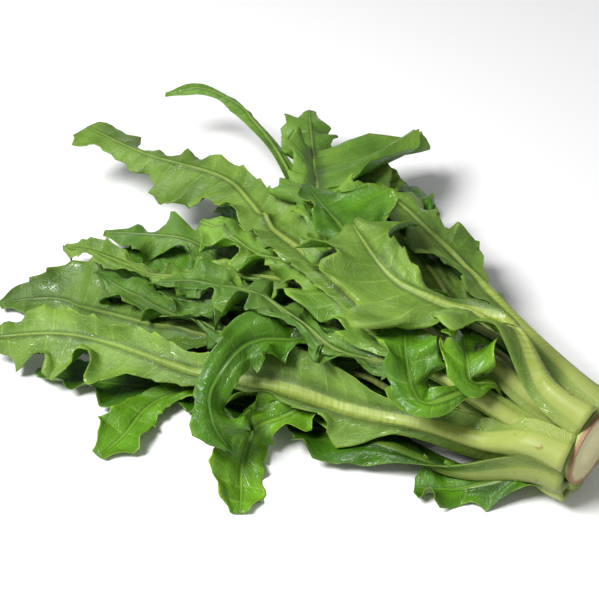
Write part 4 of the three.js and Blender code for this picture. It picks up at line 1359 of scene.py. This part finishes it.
@dataclass
class CutStem:
    """The short stem, cut across at +X, that all the leaves grow from.

    Attributes:
        length: Into the head.
        profile: Share of the radius at shares of the length, from the cut inwards.
        sides: Sides of the turned body.
        skin: Width of the rim round the cut.
        dips: Steps that the cut face is dished in.
        dip_width: Width of a step.
        dip_depth: Depth of a step.
    """

    length: float = 66.0
    profile: Keys = ((0.02, 1.0), (0.1, 0.93), (0.28, 0.66), (0.5, 0.4), (0.75, 0.2), (0.97, 0.04))
    sides: int = 96
    skin: float = 0.9
    dips: int = 5
    dip_width: float = 3.2
    dip_depth: float = 0.15

    def build(self, material: bpy.types.Material) -> bpy.types.Object:
        """Extrude the body inwards from its cut face, and dish the face.

        Args:
            material: The stem's finish.

        Returns:
            The stem's object.
        """
        centre = Vector(((CUT_X + SHIFT[0]) * MM, SHIFT[1] * MM, AXIS_Z * MM))
        bpy.ops.object.select_all(action="DESELECT")
        depth = self.profile[0][0] * self.length * MM
        bpy.ops.mesh.primitive_cylinder_add(
            vertices=self.sides,
            radius=STEM_RADIUS * MM,
            depth=depth,
            location=centre - Vector((depth / 2, 0, 0)),
            rotation=(0, math.pi / 2, 0),
        )
        stem = bpy.context.object
        stem.name = "stem_flesh"
        bpy.ops.object.transform_apply(location=True, rotation=True, scale=True)
        bpy.ops.object.mode_set(mode="EDIT")
        bpy.ops.mesh.select_mode(type="FACE")
        self.select_end(stem, inner=True)
        for (here, wide), (ahead, narrow) in zip(self.profile, self.profile[1:]):
            move = (here - ahead) * self.length * MM
            bpy.ops.mesh.extrude_region_move(TRANSFORM_OT_translate={"value": (move, 0, 0)})
            middle = centre - Vector((ahead * self.length * MM, 0, 0))
            share = narrow / wide
            bpy.ops.transform.resize(value=(1, share, share), center_override=middle)
        self.select_end(stem, inner=False)
        bpy.ops.mesh.inset(thickness=self.skin * MM, depth=0)
        for _ in range(self.dips):
            bpy.ops.mesh.inset(thickness=self.dip_width * MM, depth=-self.dip_depth * MM)
        bpy.ops.object.mode_set(mode="OBJECT")
        stem.data.materials.clear()
        stem.data.materials.append(material)
        bpy.ops.object.shade_smooth_by_angle(angle=math.radians(40))
        return stem

    def select_end(self, stem: bpy.types.Object, inner: bool) -> None:
        """Select one end face, and leave edit mode open on it.

        Args:
            stem: The object in edit mode.
            inner: True for the end inside the head, False for the cut.
        """
        bpy.ops.mesh.select_all(action="DESELECT")
        bpy.ops.object.mode_set(mode="OBJECT")
        ends = [f for f in stem.data.polygons if abs(f.normal.x) > 0.9 and len(f.vertices) > 4]
        pick = min if inner else max
        pick(ends, key=lambda f: f.center.x).select = True
        bpy.ops.object.mode_set(mode="EDIT")


@dataclass
class LettuceHead:
    """The whole head: stem and leaves, each standing for its own solid.

    Attributes:
        finishes: The leaf's finish at each age.
    """

    finishes: dict[Age, LeafFlesh] = field(
        default_factory=lambda: {
            Age.OUTER: LeafFlesh(),
            Age.HEART: LeafFlesh(
                upper="#588a1c",
                upper_deep="#417012",
                under="#6c9334",
                under_deep="#527b25",
                vein="#90ab52",
                margin="#8fb02f",
                rib="#7c9a3e",
                gloss=0.36,
            ),
        }
    )

    def build(self) -> list[bpy.types.Object]:
        """Build every piece, tie it to its solid and report it.

        Returns:
            The pieces.
        """
        stem = CutStem().build(CutFlesh().material("cut_stem_flesh"))
        pieces = [self.tie(stem, "stem")]
        coats = {age: flesh.material(age.value + "_flesh") for age, flesh in self.finishes.items()}
        settled, shown = Heap(), Heap(floor=-0.5)
        for index, plan in enumerate(PLANS):
            leaf = Leaf(plan, index)
            leaf.settle(settled)
            pieces.append(self.tie(leaf.build(shown, coats[leaf.age]), plan.name))
        return pieces

    def tie(self, piece: bpy.types.Object, node: str) -> bpy.types.Object:
        """Let a piece ride on the head in place of its solid, and report it.

        Args:
            piece: The finished object.
            node: The solid that it stands for.

        Returns:
            The same object.
        """
        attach(piece, "root")
        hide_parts(node)
        low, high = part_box(node)
        corners = np.array([v.co for v in piece.data.vertices])
        off = np.abs(np.concatenate([corners.min(0) - low, corners.max(0) - high])).max() / MM
        log.info("%s: %d faces, %.1f mm off its solid's box", piece.name, len(piece.data.polygons), off)
        return piece


@dataclass(frozen=True)
class SoftLamp:
    """A square soft light.

    Attributes:
        name: Its name.
        azimuth: Its bearing round the head, from -Y, in degrees.
        elevation: Its height in degrees.
        distance: From the head, in metres.
        size: Its side, in metres.
        power: In watts.
    """

    name: str
    azimuth: float
    elevation: float
    distance: float
    size: float
    power: float


@dataclass
class Studio:
    """Pale floor, soft light and the photograph's own point of view.

    Attributes:
        azimuth: The camera's bearing, round from -Y, in degrees.
        elevation: Above the surface, in degrees.
        distance: From the camera to what it looks at.
        lens: On a 36 mm sensor.
        target: What it looks at, in the head's own frame.
        lamps: The soft lights.
        ambient: Strength of the light from all round.
    """

    azimuth: float = 40.0
    elevation: float = 40.0
    distance: float = 780.0
    lens: float = 85.0
    target: tuple[float, float, float] = (-5.42, -9.42, 35.0)
    lamps: tuple[SoftLamp, ...] = (
        SoftLamp("key", -25.0, 55.0, 1.3, 0.5, 25.0),
        SoftLamp("fill", 100.0, 40.0, 1.6, 1.6, 3.0),
    )
    ambient: float = 0.26

    def direction(self, azimuth: float, elevation: float) -> Vector:
        """Return the unit vector from the head towards a bearing."""
        a, e = math.radians(azimuth), math.radians(elevation)
        return Vector((math.sin(a) * math.cos(e), -math.cos(a) * math.cos(e), math.sin(e)))

    def build(self) -> None:
        """Lay the floor, hang the lights and set up the camera."""
        bpy.ops.object.select_all(action="DESELECT")
        bpy.ops.mesh.primitive_plane_add(size=6.0, location=(0, 0, 0))
        floor = bpy.context.object
        floor.name = "floor"
        floor.data.materials.append(StudioPaper().material("studio_paper"))
        aim = Vector(np.array(self.target) + SHIFT) * MM
        for lamp in self.lamps:
            self.hang(lamp, aim)
        world = bpy.data.worlds.new("studio")
        bpy.context.scene.world = world
        world.use_nodes = True
        sky = world.node_tree.nodes["Background"].inputs
        sky["Color"].default_value = linear("#f4f6f8")
        sky["Strength"].default_value = self.ambient
        bpy.context.scene.view_settings.view_transform = "Standard"
        camera = bpy.data.objects.new("camera", bpy.data.cameras.new("camera"))
        camera.data.lens = self.lens
        camera.data.sensor_width = 36.0
        back = self.direction(self.azimuth, self.elevation)
        camera.location = aim + back * self.distance * MM
        camera.rotation_euler = (-back).to_track_quat("-Z", "Y").to_euler()
        camera.data.clip_start, camera.data.clip_end = 0.05, 20.0
        bpy.context.scene.collection.objects.link(camera)
        bpy.context.scene.camera = camera

    def hang(self, lamp: SoftLamp, aim: Vector) -> None:
        """Hang one lamp.

        Args:
            lamp: Its numbers.
            aim: What it points at.
        """
        light = bpy.data.lights.new(lamp.name, "AREA")
        light.shape, light.size, light.energy = "SQUARE", lamp.size, lamp.power
        made = bpy.data.objects.new(lamp.name, light)
        back = self.direction(lamp.azimuth, lamp.elevation)
        made.location = aim + back * lamp.distance
        made.rotation_euler = (-back).to_track_quat("-Z", "Y").to_euler()
        bpy.context.scene.collection.objects.link(made)


def main() -> None:
    """Build the head and its studio, and note how far each reaches."""
    pieces = LettuceHead().build()
    Studio().build()
    log.info("%d pieces, %d faces", len(pieces), sum(len(p.data.polygons) for p in pieces))


if __name__ == "__main__":
    main()
